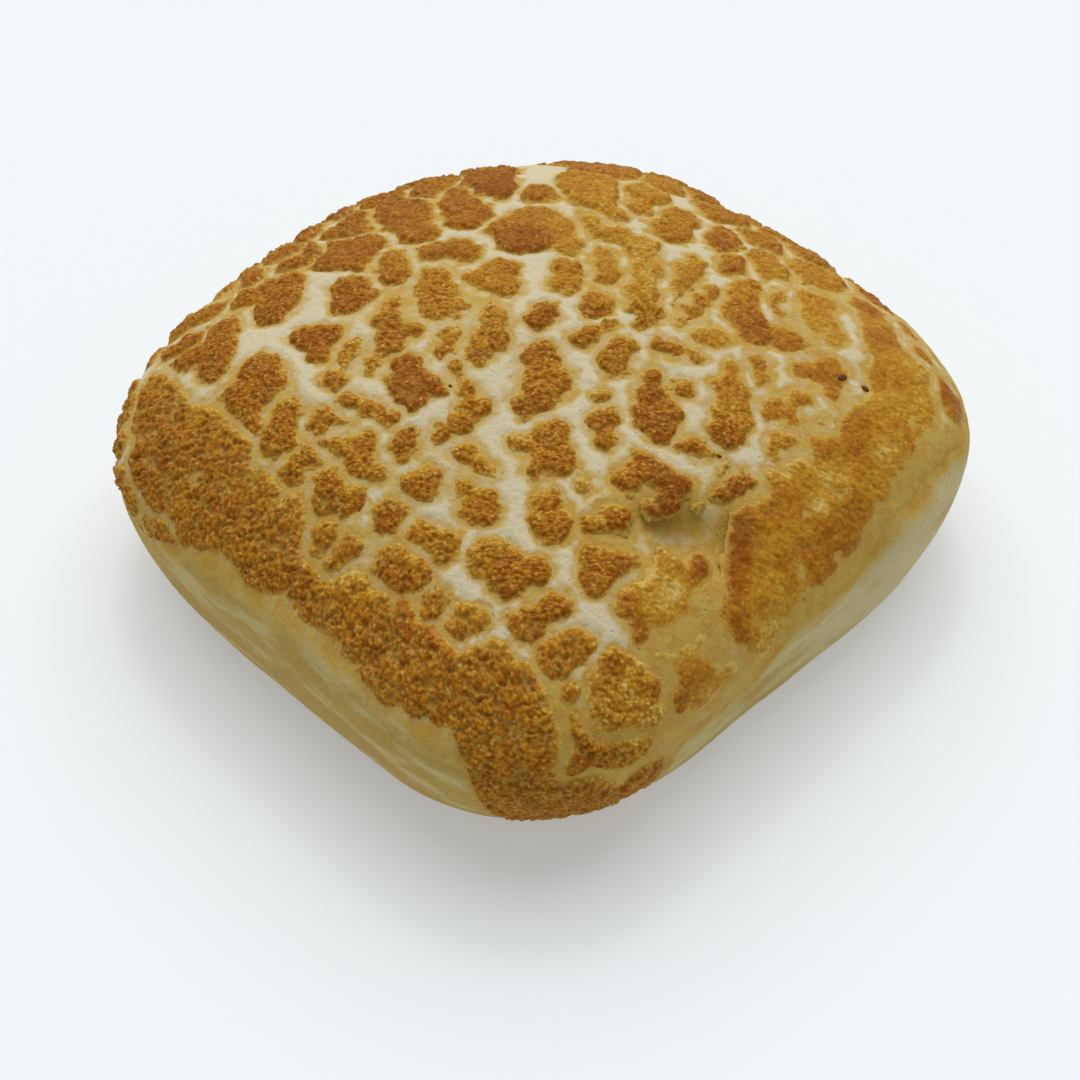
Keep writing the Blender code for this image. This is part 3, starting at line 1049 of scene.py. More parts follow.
def paste_relief_tree():
    """Raises the plates off the dough, rounds their rims, grains their tops and closes them."""
    tree, given = new_tree(
        "Paste relief",
        (
            ("Thickness", "Float", 1.2 * MM),
            ("Rim radius", "Float", 2.1 * MM),
            ("Grit size", "Float", 0.85 * MM),
            ("Grit height", "Float", 0.45 * MM),
            ("Wave height", "Float", 0.9 * MM),
            ("Crease depth", "Float", 0.8 * MM),
            ("Bed depth", "Float", 1.10 * MM),
            ("Sink", "Float", 0.28 * MM),
            ("Root depth", "Float", 3.0 * MM),
            ("Least faces", "Int", 14),
            ("Material", "Material", None),
        ),
    )
    # leave out scraps of a few faces
    island = put(tree, "GeometryNodeInputMeshIsland").outputs["Island Index"]
    total = put(tree, "GeometryNodeAccumulateField", {"Value": 1.0, "Group ID": island}, domain="FACE")
    few = put(
        tree,
        "FunctionNodeCompare",
        {"A": total.outputs["Total"], "B": given["Least faces"]},
        operation="LESS_THAN",
    )
    whole = put(
        tree,
        "GeometryNodeDeleteGeometry",
        {"Geometry": given["Geometry"], "Selection": few.outputs[0]},
        domain="FACE",
    ).outputs[0]

    # height of the top over the dough
    position = put(tree, "GeometryNodeInputPosition").outputs[0]
    rim = named(tree, "rim")
    inward = calc(tree, "DIVIDE", rim, calc(tree, "MULTIPLY", given["Rim radius"], named(tree, "breadth")))
    inward = calc(tree, "MAXIMUM", calc(tree, "MINIMUM", inward, 1.0), 0.0)
    lag = calc(tree, "SUBTRACT", 1.0, inward)
    round_up = calc(tree, "SUBTRACT", 1.0, calc(tree, "MULTIPLY", lag, lag))
    coarse, lot = grains(tree, position, given["Grit size"])
    fine, _ = grains(tree, position, calc(tree, "MULTIPLY", given["Grit size"], 0.62), 31.7)
    grit = calc(tree, "MULTIPLY_ADD", fine, 0.30, calc(tree, "MULTIPLY", coarse, 0.80))
    waves = calc(tree, "SUBTRACT", soft_noise(tree, position, 2.6 * MM, 1.0), 0.5)
    close = calc(tree, "MULTIPLY_ADD", named(tree, "close"), 0.7, 0.3)
    valley = calc(tree, "MULTIPLY", creases(tree, position, 2.9 * MM), close)
    body = calc(tree, "MULTIPLY", given["Thickness"], named(tree, "thickness"))
    wavy = calc(tree, "MULTIPLY_ADD", waves, given["Wave height"], body)
    wavy = calc(tree, "SUBTRACT", wavy, calc(tree, "MULTIPLY", valley, given["Crease depth"]))
    grain_lift = calc(tree, "MULTIPLY", calc(tree, "SUBTRACT", grit, 0.9), given["Grit height"])
    grain_lift = calc(tree, "MULTIPLY", grain_lift, named(tree, "gritty"))
    height = calc(tree, "MULTIPLY", calc(tree, "ADD", wavy, grain_lift), round_up)
    sunk = calc(tree, "MULTIPLY", given["Sink"], calc(tree, "SUBTRACT", 1.0, round_up))
    lift = calc(tree, "SUBTRACT", calc(tree, "SUBTRACT", height, sunk), given["Bed depth"])
    offset = put(tree, "ShaderNodeVectorMath", (named(tree, "out", "FLOAT_VECTOR"),), operation="SCALE")
    feed(tree, offset.inputs["Scale"], lift)
    marked = whole
    for name, value in (("grain", grit), ("lot", lot), ("valley", valley)):
        marked = put(
            tree,
            "GeometryNodeStoreNamedAttribute",
            {"Geometry": marked, "Name": name, "Value": value},
            data_type="FLOAT",
            domain="POINT",
        ).outputs[0]
    raised = put(
        tree, "GeometryNodeSetPosition", {"Geometry": marked, "Offset": offset.outputs[0]}
    ).outputs[0]

    # close each plate down to a root inside the dough
    sides = put(tree, "GeometryNodeInputMeshEdgeNeighbors").outputs[0]
    border = put(tree, "FunctionNodeCompare", {"A": sides, "B": 1}, data_type="INT", operation="EQUAL")
    walls = put(
        tree,
        "GeometryNodeExtrudeMesh",
        {"Mesh": raised, "Selection": border.outputs[0], "Offset Scale": 0.0},
        mode="EDGES",
    )
    where = put(
        tree,
        "GeometryNodeAccumulateField",
        {"Value": position, "Group ID": island},
        data_type="FLOAT_VECTOR",
        domain="POINT",
    )
    count = put(tree, "GeometryNodeAccumulateField", {"Value": 1.0, "Group ID": island}, domain="POINT")
    middle = put(tree, "ShaderNodeVectorMath", (where.outputs["Total"],), operation="SCALE")
    feed(tree, middle.inputs["Scale"], calc(tree, "DIVIDE", 1.0, count.outputs["Total"]))
    facing = put(tree, "ShaderNodeVectorMath", (middle.outputs[0],), operation="NORMALIZE")
    down = put(tree, "ShaderNodeVectorMath", (facing.outputs[0],), operation="SCALE")
    feed(tree, down.inputs["Scale"], given["Root depth"])
    root = put(tree, "ShaderNodeVectorMath", (middle.outputs[0], down.outputs[0]), operation="SUBTRACT")
    gathered = put(
        tree,
        "GeometryNodeSetPosition",
        {"Geometry": walls.outputs["Mesh"], "Selection": walls.outputs["Top"], "Position": root.outputs[0]},
    ).outputs[0]
    closed = put(
        tree,
        "GeometryNodeMergeByDistance",
        {"Geometry": gathered, "Selection": walls.outputs["Top"], "Distance": 0.02 * MM},
    ).outputs[0]
    end_tree(tree, closed, given["Material"])
    return tree


def dough_relief_tree():
    """Sets the dough back under the paste, and gives it its soft lumps and stretch marks."""
    tree, given = new_tree(
        "Dough relief",
        (
            ("Recess", "Float", 0.35 * MM),
            ("Bed depth", "Float", 1.10 * MM),
            ("Swell", "Float", 0.25 * MM),
            ("Wrinkle height", "Float", 0.22 * MM),
            ("Hollow depth", "Float", 2.8 * MM),
            ("Material", "Material", None),
        ),
    )
    position = put(tree, "GeometryNodeInputPosition").outputs[0]
    under = named(tree, "under")
    deeper = calc(tree, "SUBTRACT", given["Bed depth"], given["Recess"])
    depth = calc(tree, "MULTIPLY_ADD", under, deeper, given["Recess"])
    swell = calc(tree, "MULTIPLY", given["Swell"], named(tree, "open"))
    wrinkle = calc(tree, "SUBTRACT", soft_noise(tree, position, 1.6 * MM, 3.0), 0.5)
    height = calc(tree, "MULTIPLY_ADD", wrinkle, given["Wrinkle height"], swell)
    depth = calc(tree, "MULTIPLY_ADD", named(tree, "hollow"), given["Hollow depth"], depth)
    lift = calc(tree, "MULTIPLY", calc(tree, "SUBTRACT", height, depth), named(tree, "free"))
    offset = put(tree, "ShaderNodeVectorMath", (named(tree, "out", "FLOAT_VECTOR"),), operation="SCALE")
    feed(tree, offset.inputs["Scale"], lift)
    raised = put(
        tree,
        "GeometryNodeSetPosition",
        {"Geometry": given["Geometry"], "Offset": offset.outputs[0]},
    ).outputs[0]
    end_tree(tree, raised, given["Material"])
    return tree


def speck_tree():
    """Sets a dented speck on every point, with the size and turn that are stored there."""
    tree, given = new_tree(
        "Specks",
        (
            ("Rounds", "Int", 1),
            ("Dent size", "Float", 0.35 * MM),
            ("Dent depth", "Float", 0.20 * MM),
            ("Material", "Material", None),
        ),
    )
    ball = put(tree, "GeometryNodeMeshIcoSphere", {"Radius": 1.0, "Subdivisions": given["Rounds"]})
    turn = put(tree, "FunctionNodeEulerToRotation", (named(tree, "turn", "FLOAT_VECTOR"),))
    placed = put(
        tree,
        "GeometryNodeInstanceOnPoints",
        {
            "Points": given["Geometry"],
            "Instance": ball.outputs["Mesh"],
            "Rotation": turn.outputs[0],
            "Scale": named(tree, "stretch", "FLOAT_VECTOR"),
        },
    ).outputs[0]
    real = put(tree, "GeometryNodeRealizeInstances", (placed,)).outputs[0]
    position = put(tree, "GeometryNodeInputPosition").outputs[0]
    scale = calc(tree, "DIVIDE", 1.0, given["Dent size"])
    noise = put(tree, "ShaderNodeTexNoise", {"Vector": position, "Scale": scale, "Detail": 1.0})
    middle = put(
        tree, "ShaderNodeVectorMath", (noise.outputs["Color"], (0.5, 0.5, 0.5)), operation="SUBTRACT"
    )
    dent = put(tree, "ShaderNodeVectorMath", (middle.outputs[0],), operation="SCALE")
    feed(tree, dent.inputs["Scale"], given["Dent depth"])
    rough = put(tree, "GeometryNodeSetPosition", {"Geometry": real, "Offset": dent.outputs[0]}).outputs[0]
    end_tree(tree, rough, given["Material"])
    return tree


# ---------------------------------------------------------------------------------------------
# Materials
# ---------------------------------------------------------------------------------------------


def new_material(name):
    """A material with a Principled surface, its tree and the surface node."""
    material = bpy.data.materials.new(name)
    material.use_nodes = True
    tree = material.node_tree
    return material, tree, tree.nodes["Principled BSDF"]


def new_group(name, inputs, outputs):
    """A shader node group with named sockets."""
    tree = bpy.data.node_groups.new(name, "ShaderNodeTree")
    for label, kind, default in inputs:
        socket = tree.interface.new_socket(label, in_out="INPUT", socket_type=f"NodeSocket{kind}")
        if default is not None:
            socket.default_value = default
    for label, kind in outputs:
        tree.interface.new_socket(label, in_out="OUTPUT", socket_type=f"NodeSocket{kind}")
    return tree, tree.nodes.new("NodeGroupInput").outputs, tree.nodes.new("NodeGroupOutput").inputs


def grain_group():
    """Packed grains with a random value each: used for the paste and for the dough's pits."""
    tree, given, made = new_group(
        "Grain",
        (("Vector", "Vector", None), ("Size", "Float", MM)),
        (("Height", "Float"), ("Random", "Float"), ("Speckle", "Float")),
    )
    scaled = put(tree, "ShaderNodeVectorMath", (given["Vector"],), operation="SCALE")
    feed(tree, scaled.inputs["Scale"], calc(tree, "DIVIDE", 1.0, given["Size"]))
    bend = put(tree, "ShaderNodeTexNoise", {"Vector": scaled.outputs[0], "Scale": 1.4, "Detail": 1.0})
    shift = put(tree, "ShaderNodeVectorMath", (bend.outputs["Color"],), operation="SCALE")
    shift.inputs["Scale"].default_value = 0.8
    place = put(tree, "ShaderNodeVectorMath", (scaled.outputs[0], shift.outputs[0]), operation="ADD")
    cells = put(tree, "ShaderNodeTexVoronoi", {"Vector": place.outputs[0], "Scale": 1.0})
    away = calc(tree, "MINIMUM", calc(tree, "DIVIDE", cells.outputs["Distance"], 0.8), 1.0)
    height = calc(tree, "SUBTRACT", 1.0, calc(tree, "POWER", away, 1.7))
    lot = put(tree, "ShaderNodeSeparateColor", (cells.outputs["Color"],)).outputs[0]
    spot = remap(tree, cells.outputs["Distance"], 0.10, 0.30, 1.0, 0.0)
    feed(tree, made["Height"], height)
    feed(tree, made["Random"], lot)
    feed(tree, made["Speckle"], calc(tree, "MULTIPLY", spot, remap(tree, lot, 0.80, 0.90)))
    return tree


def mottle_group():
    """Broad uneven browning, from -1 to 1."""
    tree, given, made = new_group(
        "Mottle",
        (("Vector", "Vector", None), ("Size", "Float", 4 * MM), ("Detail", "Float", 3.0)),
        (("Amount", "Float"),),
    )
    scale = calc(tree, "DIVIDE", 1.0, given["Size"])
    noise = put(
        tree,
        "ShaderNodeTexNoise",
        {"Vector": given["Vector"], "Scale": scale, "Detail": given["Detail"], "Roughness": 0.6},
    )
    feed(tree, made["Amount"], remap(tree, noise.outputs[0], 0.28, 0.72, -1.0, 1.0, "LINEAR"))
    return tree


def use_group(tree, group, vector, **values):
    """A group placed in a material, with its own values."""
    node = tree.nodes.new("ShaderNodeGroup")
    node.node_tree = group
    feed(tree, node.inputs["Vector"], vector)
    for name, value in values.items():
        feed(tree, node.inputs[name.capitalize()], value)
    return node.outputs


def attribute(tree, name):
    """A value stored on the mesh, for a material."""
    return put(tree, "ShaderNodeAttribute", attribute_name=name).outputs["Fac"]


def object_place(tree):
    """Position in the piece's own coordinates, for a material."""
    return tree.nodes.new("ShaderNodeTexCoord").outputs["Object"]


def paste_material(colours, groups):
    """Baked rice paste: browned and gritty, with painted highlights on some grain tops, painted shade
    between the grains and in the creases, and a coat of gloss on some grains.
    """
    material, tree, surface = new_material("baked paste")
    place = object_place(tree)
    toast, rim, grain, lot, gritty, valley, breadth = (
        attribute(tree, name) for name in ("toast", "rim", "grain", "lot", "gritty", "valley", "breadth")
    )
    fine = use_group(tree, groups["grain"], place, size=0.62 * MM)
    mottle = use_group(tree, groups["mottle"], place, size=3.4 * MM)["Amount"]
    small = use_group(tree, groups["mottle"], place, size=0.9 * MM, detail=2.0)["Amount"]
    # Painted shade: the tone darkens between the grains and lightens on their tops, pushing it towards the
    # dark paste colours.
    hollow = calc(tree, "MULTIPLY", calc(tree, "SUBTRACT", 0.66, grain), 0.70)
    hollow = calc(tree, "MULTIPLY_ADD", calc(tree, "SUBTRACT", 0.5, fine["Height"]), 0.12, hollow)
    hollow = calc(tree, "MULTIPLY_ADD", calc(tree, "SUBTRACT", fine["Random"], 0.5), 0.08, hollow)
    uneven = remap(tree, breadth, 1.0, 2.6, 0.14, 0.22)
    tone = calc(tree, "MULTIPLY_ADD", mottle, uneven, toast)
    tone = calc(tree, "MULTIPLY_ADD", small, 0.14, tone)
    tone = calc(tree, "MULTIPLY_ADD", hollow, gritty, tone)
    # Painted shade: darker in the crease valleys.
    tone = calc(tree, "MULTIPLY_ADD", valley, 0.06, tone)
    inward = calc(tree, "DIVIDE", rim, breadth)
    edge = remap(tree, inward, 0.0, 1.0 * MM, 1.0, 0.0)
    tone = calc(tree, "MULTIPLY_ADD", edge, -0.2, tone)
    ramp = put(tree, "ShaderNodeValToRGB", (tone,))
    stops = (
        (0.12, colours.paste_pale),
        (0.42, colours.paste_golden),
        (0.72, colours.paste_brown),
        (1.0, colours.paste_dark),
    )
    elements = ramp.color_ramp.elements
    while len(elements) < len(stops):
        elements.new(0.5)
    for element, (where, colour) in zip(elements, stops):
        element.position = where
        element.color = rgba(colour)
    # Painted highlight: some grain tops and small speckles are painted in the glint colour; the coat on
    # them is real gloss.
    caps = calc(tree, "MULTIPLY", remap(tree, grain, 0.66, 1.02), remap(tree, lot, 0.45, 0.95))
    gloss_and_painted_glint = calc(tree, "MULTIPLY", calc(tree, "MAXIMUM", caps, fine["Speckle"]), gritty)
    stained = remap(tree, calc(tree, "MULTIPLY_ADD", small, 0.2 * MM, inward), 0.0, 0.9 * MM, 0.9, 0.0)
    open_valley = calc(tree, "MULTIPLY", valley, remap(tree, mottle, -0.4, 0.4, 0.1, 0.6))
    body = blend_colours(
        tree, calc(tree, "MAXIMUM", stained, open_valley), ramp.outputs[0], colours.film
    )
    lit = blend_colours(tree, calc(tree, "MULTIPLY", gloss_and_painted_glint, 0.50), body, colours.glint)
    feed(tree, surface.inputs["Base Color"], lit)
    feed(tree, surface.inputs["Roughness"], remap(tree, fine["Random"], 0.2, 0.9, 0.62, 0.4))
    surface.inputs["Specular IOR Level"].default_value = 0.08
    feed(tree, surface.inputs["Coat Weight"], calc(tree, "MULTIPLY", gloss_and_painted_glint, 0.6))
    surface.inputs["Coat Roughness"].default_value = 0.35
    height = calc(tree, "MULTIPLY_ADD", small, 0.10, calc(tree, "MULTIPLY", fine["Height"], 0.5))
    bump = put(tree, "ShaderNodeBump", {"Height": height, "Distance": 0.25 * MM, "Strength": 0.6})
    feed(tree, surface.inputs["Normal"], bump.outputs[0])
    return material


def dough_material(colours, groups):
    """Soft pale dough: pitted in the cracks, with painted shade in the pits, stained round the paste and
    with painted shade in the hollow under the thick plate, golden on the sides.
    """
    material, tree, surface = new_material("dough")
    place = object_place(tree)
    film, band, base, golden = (attribute(tree, name) for name in ("film", "band", "base", "golden"))
    pits = use_group(tree, groups["grain"], place, size=0.85 * MM)
    mottle = use_group(tree, groups["mottle"], place, size=5 * MM)["Amount"]
    small = use_group(tree, groups["mottle"], place, size=1.1 * MM, detail=3.0)["Amount"]
    # golden streaks on the sides, drawn out along them
    stretch = put(tree, "ShaderNodeMapping", {"Vector": place, "Scale": (0.35, 0.35, 1.3)}).outputs[0]
    streaks = use_group(tree, groups["mottle"], stretch, size=6.0 * MM, detail=4.0)["Amount"]
    height = put(tree, "ShaderNodeSeparateXYZ", (place,)).outputs[2]
    low = remap(tree, height, 22 * MM, 6 * MM)
    flecks = calc(tree, "MULTIPLY_ADD", low, 0.35, calc(tree, "MULTIPLY_ADD", streaks, 0.9, golden))
    side = blend_colours(tree, remap(tree, flecks, 0.0, 1.0), colours.side, colours.streak)
    colour = blend_colours(tree, band, colours.dough, side)
    # thin paste round the plates, and painted shade in the hollow under the thick plate, which the film
    # field also carries
    brown = calc(tree, "MULTIPLY_ADD", calc(tree, "SUBTRACT", film, 0.8), 1.4, mottle)
    stain = blend_colours(tree, remap(tree, brown, -0.6, 1.0), colours.film, colours.film_brown)
    patches = use_group(tree, groups["mottle"], place, size=3.4 * MM)["Amount"]
    patches = calc(tree, "MULTIPLY", remap(tree, patches, -0.35, 0.4), remap(tree, film, 0.7, 1.0))
    stain = blend_colours(tree, calc(tree, "MULTIPLY", patches, 0.75), stain, colours.paste_golden)
    uneven = calc(tree, "MULTIPLY_ADD", small, 0.25, calc(tree, "MULTIPLY_ADD", mottle, 0.30, film))
    thin = remap(tree, uneven, 0.10, 1.05, curve="LINEAR")
    colour = blend_colours(tree, calc(tree, "MULTIPLY", thin, 0.92), colour, stain)
    # browned underside
    browned = calc(tree, "MULTIPLY_ADD", mottle, 0.25, base)
    colour = blend_colours(tree, remap(tree, browned, 0.2, 0.9), colour, colours.base)
    fuzz = use_group(tree, groups["mottle"], place, size=0.4 * MM, detail=1.0)["Amount"]
    tone = calc(tree, "MULTIPLY_ADD", fuzz, 0.6, calc(tree, "MULTIPLY_ADD", mottle, 0.5, small))
    tone = remap(tree, tone, -2.0, 2.0, 0.86, 1.10, "LINEAR")
    grey = put(tree, "ShaderNodeCombineColor", (tone, tone, tone)).outputs[0]
    colour = blend_colours(tree, 1.0, colour, grey, "MULTIPLY")
    # Painted shade in the small pits.
    colour = blend_colours(tree, calc(tree, "MULTIPLY", pits["Speckle"], 0.4), colour, colours.painted_pit_shade)
    feed(tree, surface.inputs["Base Color"], colour)
    surface.inputs["Roughness"].default_value = 0.78
    surface.inputs["Specular IOR Level"].default_value = 0.2
    surface.inputs["Subsurface Weight"].default_value = 0.12
    surface.inputs["Subsurface Radius"].default_value = (1.0, 0.6, 0.3)
    surface.inputs["Subsurface Scale"].default_value = 1.2 * MM
    relief = calc(tree, "MULTIPLY_ADD", pits["Speckle"], -0.8, calc(tree, "MULTIPLY", small, 0.6))
    bump = put(tree, "ShaderNodeBump", {"Height": relief, "Distance": 0.16 * MM, "Strength": 0.8})
    feed(tree, surface.inputs["Normal"], bump.outputs[0])
    return material


def burnt_material(colours):
    """Burnt crumbs, nearly black."""
    material, tree, surface = new_material("burnt crumb")
    mottle = put(tree, "ShaderNodeTexNoise", {"Vector": object_place(tree), "Scale": 1 / (0.5 * MM)})
    colour = blend_colours(tree, mottle.outputs[0], colours.speck, colours.paste_dark)
    feed(tree, surface.inputs["Base Color"], colour)
    surface.inputs["Roughness"].default_value = 0.6
    surface.inputs["Specular IOR Level"].default_value = 0.2
    return material


def floor_material(stage):
    """Plain pale floor with a little light of its own, which keeps the shadow soft."""
    material, _, surface = new_material("floor")
    surface.inputs["Base Color"].default_value = rgba(stage.floor)
    surface.inputs["Roughness"].default_value = 0.9
    surface.inputs["Specular IOR Level"].default_value = 0.1
    surface.inputs["Emission Color"].default_value = rgba(stage.floor)
    surface.inputs["Emission Strength"].default_value = stage.floor_glow
    return material


# ---------------------------------------------------------------------------------------------
# Operators: one for each piece or group of like pieces, and one for the stage
# ---------------------------------------------------------------------------------------------

CRAFT = {}  # what one operator makes for the next: skins, crack map, shared groups


def shared():
    """The cage, the plates' lobes and the shader groups, made once."""
    if not CRAFT:
        sizes = bpy.context.scene.loaf_sizes
        cage = cage_mesh(CAGE_ACROSS, CAGE_UP)
        points = vertex_array(fine_skin("coarse skin", cage, SEED_LEVELS))
        rows = lobes_on_crown(solid_tree())
        rows = np.vstack([rows, lobes_that_fill(points, rows, sizes.seed)])
        CRAFT["cage"] = cage
        CRAFT["rows"] = rows
        CRAFT["sectors"] = sector_of_plates(points, rows)
        CRAFT["groups"] = {"grain": grain_group(), "mottle": mottle_group()}
        CRAFT["paste"] = paste_material(bpy.context.scene.loaf_colours, CRAFT["groups"])
    return CRAFT


def paste_thickness(points):
    """Share of the full thickness."""
    brow = np.linalg.norm(points[:, :2] - BROW[:2], axis=1) / BROW[2]
    even = 1.0 - 0.55 * right_share(points) + 0.15 * value_noise(points, 9 * MM, 71)
    return even + 0.7 * np.exp(-brow * brow) + 0.4 * folds(points)


def folds(points):
    """Ridges that fan out from the pinch, from -1 in the valleys to 1 on the ridges, 0 far away."""
    x, y, reach, count = FOLDS
    away = np.hypot(points[:, 0] - x, points[:, 1] - y) / reach
    heading = np.arctan2(points[:, 1] - y, points[:, 0] - x)
    ridges = np.cos(count * heading + 1.5 * value_noise(points, 8 * MM, 91))
    return ridges * smooth_step(away / 0.2) * np.exp(-(away**4)) * (points[:, 2] > BELLY_Z)


def golden_side(points):
    """How golden rather than pale the sides are: most on the side towards -Y."""
    front = smooth_step((-points[:, 1] - 50 * MM) / (20 * MM))
    right = smooth_step((points[:, 0] - 50 * MM) / (15 * MM))
    far = smooth_step((points[:, 1] + 15 * MM) / (30 * MM))
    return 0.4 + 0.35 * front - 0.4 * right * far


def hollow_share(points):
    """1 at the bottom of the hollow under the thick plate, 0 away from it."""
    along = (points[:, 0] - HOLLOW[0] + points[:, 1] - HOLLOW[1]) / math.sqrt(2.0) / HOLLOW[2]
    across = (points[:, 1] - HOLLOW[1] - points[:, 0] + HOLLOW[0]) / math.sqrt(2.0) / HOLLOW[3]
    return np.exp(-along * along - across * across) * (points[:, 2] > BELLY_Z)


def film_share(points, rim):
    """How much thin paste stains the dough: most round the plates and down the right margin; in the hollow
    under the thick plate it adds painted shade.
    """
    patchy = 1.0 + 0.7 * value_noise(points, 4.5 * MM, 82) + 0.6 * value_noise(points, 2 * MM, 84)
    patchy = np.maximum(patchy, 0.2)
    dense = dense_share(points)
    reach = patchy * MM * (1.7 + 0.4 * right_share(points) + 0.3 * dense - 0.6 * back_share(points))
    blurred = rim + 0.5 * MM * value_noise(points, 1.5 * MM, 81)
    film = smooth_step(1.15 + blurred / reach) * (0.9 + 0.1 * dense)
    margin = margin_share(points)
    film = np.maximum(film, margin * (0.9 + 0.3 * value_noise(points, 5 * MM, 83)))
    film += 0.3 * margin + 0.12 * smooth_step(points[:, 1] / (35 * MM))
    # Painted shade: the film is laid thick in the hollow under the thick plate, where shade falls.
    film += 0.9 * hollow_share(points) ** 0.25
    return film * smooth_step((above_line(points) + 6 * MM) / (6 * MM))


def dough_fields(points, rim):
    """Where the dough lies deeper or swells, and where it is stained, smooth or browned; the film field
    also holds painted shade in the hollow.
    """
    over = above_line(points)
    height = points[:, 2]
    paler = 0.25 * margin_share(points) * smooth_step((points[:, 1] + 10 * MM) / (20 * MM))
    return {
        "under": smooth_step((over + 3 * MM) / (5 * MM)),
        "open": smooth_step((-rim - 0.2 * MM) / (2.0 * MM)) * (over > 0),
        "free": smooth_step(height / (6 * MM)),
        "hollow": hollow_share(points),
        "film": film_share(points, rim),
        "band": smooth_step((1.0 * MM - over) / (3 * MM)) * (1.0 - paler),
        "base": smooth_step((4 * MM - height) / (4 * MM)),
        "golden": golden_side(points),
    }


class LOAF_OT_dough(bpy.types.Operator):
    """Makes the pale dough body under the crust"""

    bl_idname = "loaf.dough"
    bl_label = "Dough"

    def execute(self, context):
        craft = shared()
        sizes = context.scene.loaf_sizes
        skin = fine_skin("dough", craft["cage"], DOUGH_LEVELS)
        points = vertex_array(skin)
        rim, _, _ = crack_map(points, craft, sizes.crack_width)
        store(skin, "out", vertex_array(skin, "normal"), "FLOAT_VECTOR")
        for name, values in dough_fields(points, rim).items():
            store(skin, name, values)
        piece = link_object("dough", skin)
        inside = np.minimum(rim, above_line(points))
        unseen = (inside > 1.0 * MM) | (points[:, 2] < 2 * MM)
        group = piece.vertex_groups.new(name="unseen")
        group.add(np.flatnonzero(unseen).tolist(), UNSEEN_REDUCTION, "REPLACE")
        group.add(np.flatnonzero(~unseen).tolist(), SEEN_REDUCTION, "REPLACE")
        values = {
            "Recess": sizes.dough_recess,
            "Bed depth": sizes.dough_recess + BED_BELOW_RECESS,
            "Material": dough_material(context.scene.loaf_colours, craft["groups"]),
        }
        add_tree(piece, dough_relief_tree(), values)
        fewer = piece.modifiers.new("Fewer", "DECIMATE")
        fewer.ratio = DOUGH_TRIANGLES / (len(skin.polygons) * 2)
        fewer.vertex_group = group.name
        fewer.vertex_group_factor = 1.0
        bake_piece(piece)
        piece.vertex_groups.clear()
        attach(piece, "root")
        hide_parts("loaf")
        return {"FINISHED"}


class LOAF_OT_crust(bpy.types.Operator):
    """Makes the plates of baked paste, in sectors round the loaf"""

    bl_idname = "loaf.crust"
    bl_label = "Crust"

    def execute(self, context):
        craft = shared()
        sizes = context.scene.loaf_sizes
        skin = fine_skin("skin", upper_cage(craft["cage"]), CRUST_LEVELS)
        points = vertex_array(skin)
        rim, sector, toast = crack_map(points, craft, sizes.crack_width)
        rim = np.minimum(rim, 0.7 * above_line(points))
        # Painted light: plates are painted paler on their side towards the light; partly real, where the
        # paste thins at the rim.
        behind, _, _ = crack_map(points + LIT_THIN_SIDE * LIT_THIN_WIDTH, craft, sizes.crack_width)
        lit_thin_edge = smooth_step(1.0 - behind / LIT_THIN_WIDTH)
        fields = {
            "toast": toast - 0.24 * lit_thin_edge - 0.12 * folds(points),
            "thickness": paste_thickness(points),
            "gritty": 1.0 - np.maximum(0.65 * right_share(points), 0.4 * back_share(points)),
            "close": dense_share(points),
            "breadth": 1.0 + right_share(points) * (0.6 + 1.0 * margin_share(points)),
        }
        meshes = plate_meshes(skin, rim, sector, fields)
        tree = paste_relief_tree()
        for mesh in meshes:
            piece = link_object(mesh.name, mesh)
            values = {
                "Thickness": sizes.crust_thickness,
                "Rim radius": sizes.rim_radius,
                "Grit size": sizes.grit_size,
                "Grit height": sizes.grit_height,
                "Bed depth": sizes.dough_recess + BED_BELOW_RECESS,
                "Material": craft["paste"],
            }
            add_tree(piece, tree, values)
            bake_piece(piece)
            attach(piece, "root")
            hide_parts("loaf")
        return {"FINISHED"}


def point_mesh(name, points, turn, stretch, **fields):
    """Loose points, each with a turn, a size along each axis, and other values."""
    mesh = bpy.data.meshes.new(name)
    mesh.from_pydata(points, [], [])
    store(mesh, "turn", turn, "FLOAT_VECTOR")
    store(mesh, "stretch", stretch, "FLOAT_VECTOR")
    for field, values in fields.items():
        store(mesh, field, values)
    return mesh


class LOAF_OT_specks(bpy.types.Operator):
    """Places the few burnt specks"""

    bl_idname = "loaf.specks"
    bl_label = "Burnt specks"

    def execute(self, context):
        solid = solid_tree()
        evaluated = context.evaluated_depsgraph_get()
        finished = [item for item in context.scene.objects if item.name.startswith(("dough", "crust"))]
        points, turns, stretches = [], [], []
        for x, y, length, width, heading in BURNT_SPECKS:
            above = Vector((x * MM, y * MM, LOAF_HIGH.z + 0.1))
            normal = solid.ray_cast(above, DOWN)[1]
            hits = [piece.ray_cast(above, DOWN, depsgraph=evaluated) for piece in finished]
            place = max((hit[1] for hit in hits if hit[0]), key=lambda spot: spot.z)
            along = Vector((math.cos(math.radians(heading)), math.sin(math.radians(heading)), 0.0))
            side = normal.cross(along).normalized()
            frame_axes = Matrix((side.cross(normal), side, normal)).transposed()
            points.append(place + normal * 0.05 * MM)
            turns.append(tuple(frame_axes.to_euler()))
            stretches.append((length / 2 * MM, width / 2 * MM, width / 3 * MM))
        mesh = point_mesh("specks", points, turns, stretches)
        piece = link_object("specks", mesh)
        material = burnt_material(context.scene.loaf_colours)
        add_tree(piece, speck_tree(), {"Rounds": 3, "Material": material})
        bake_piece(piece)
        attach(piece, "root")
        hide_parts("loaf")
        return {"FINISHED"}


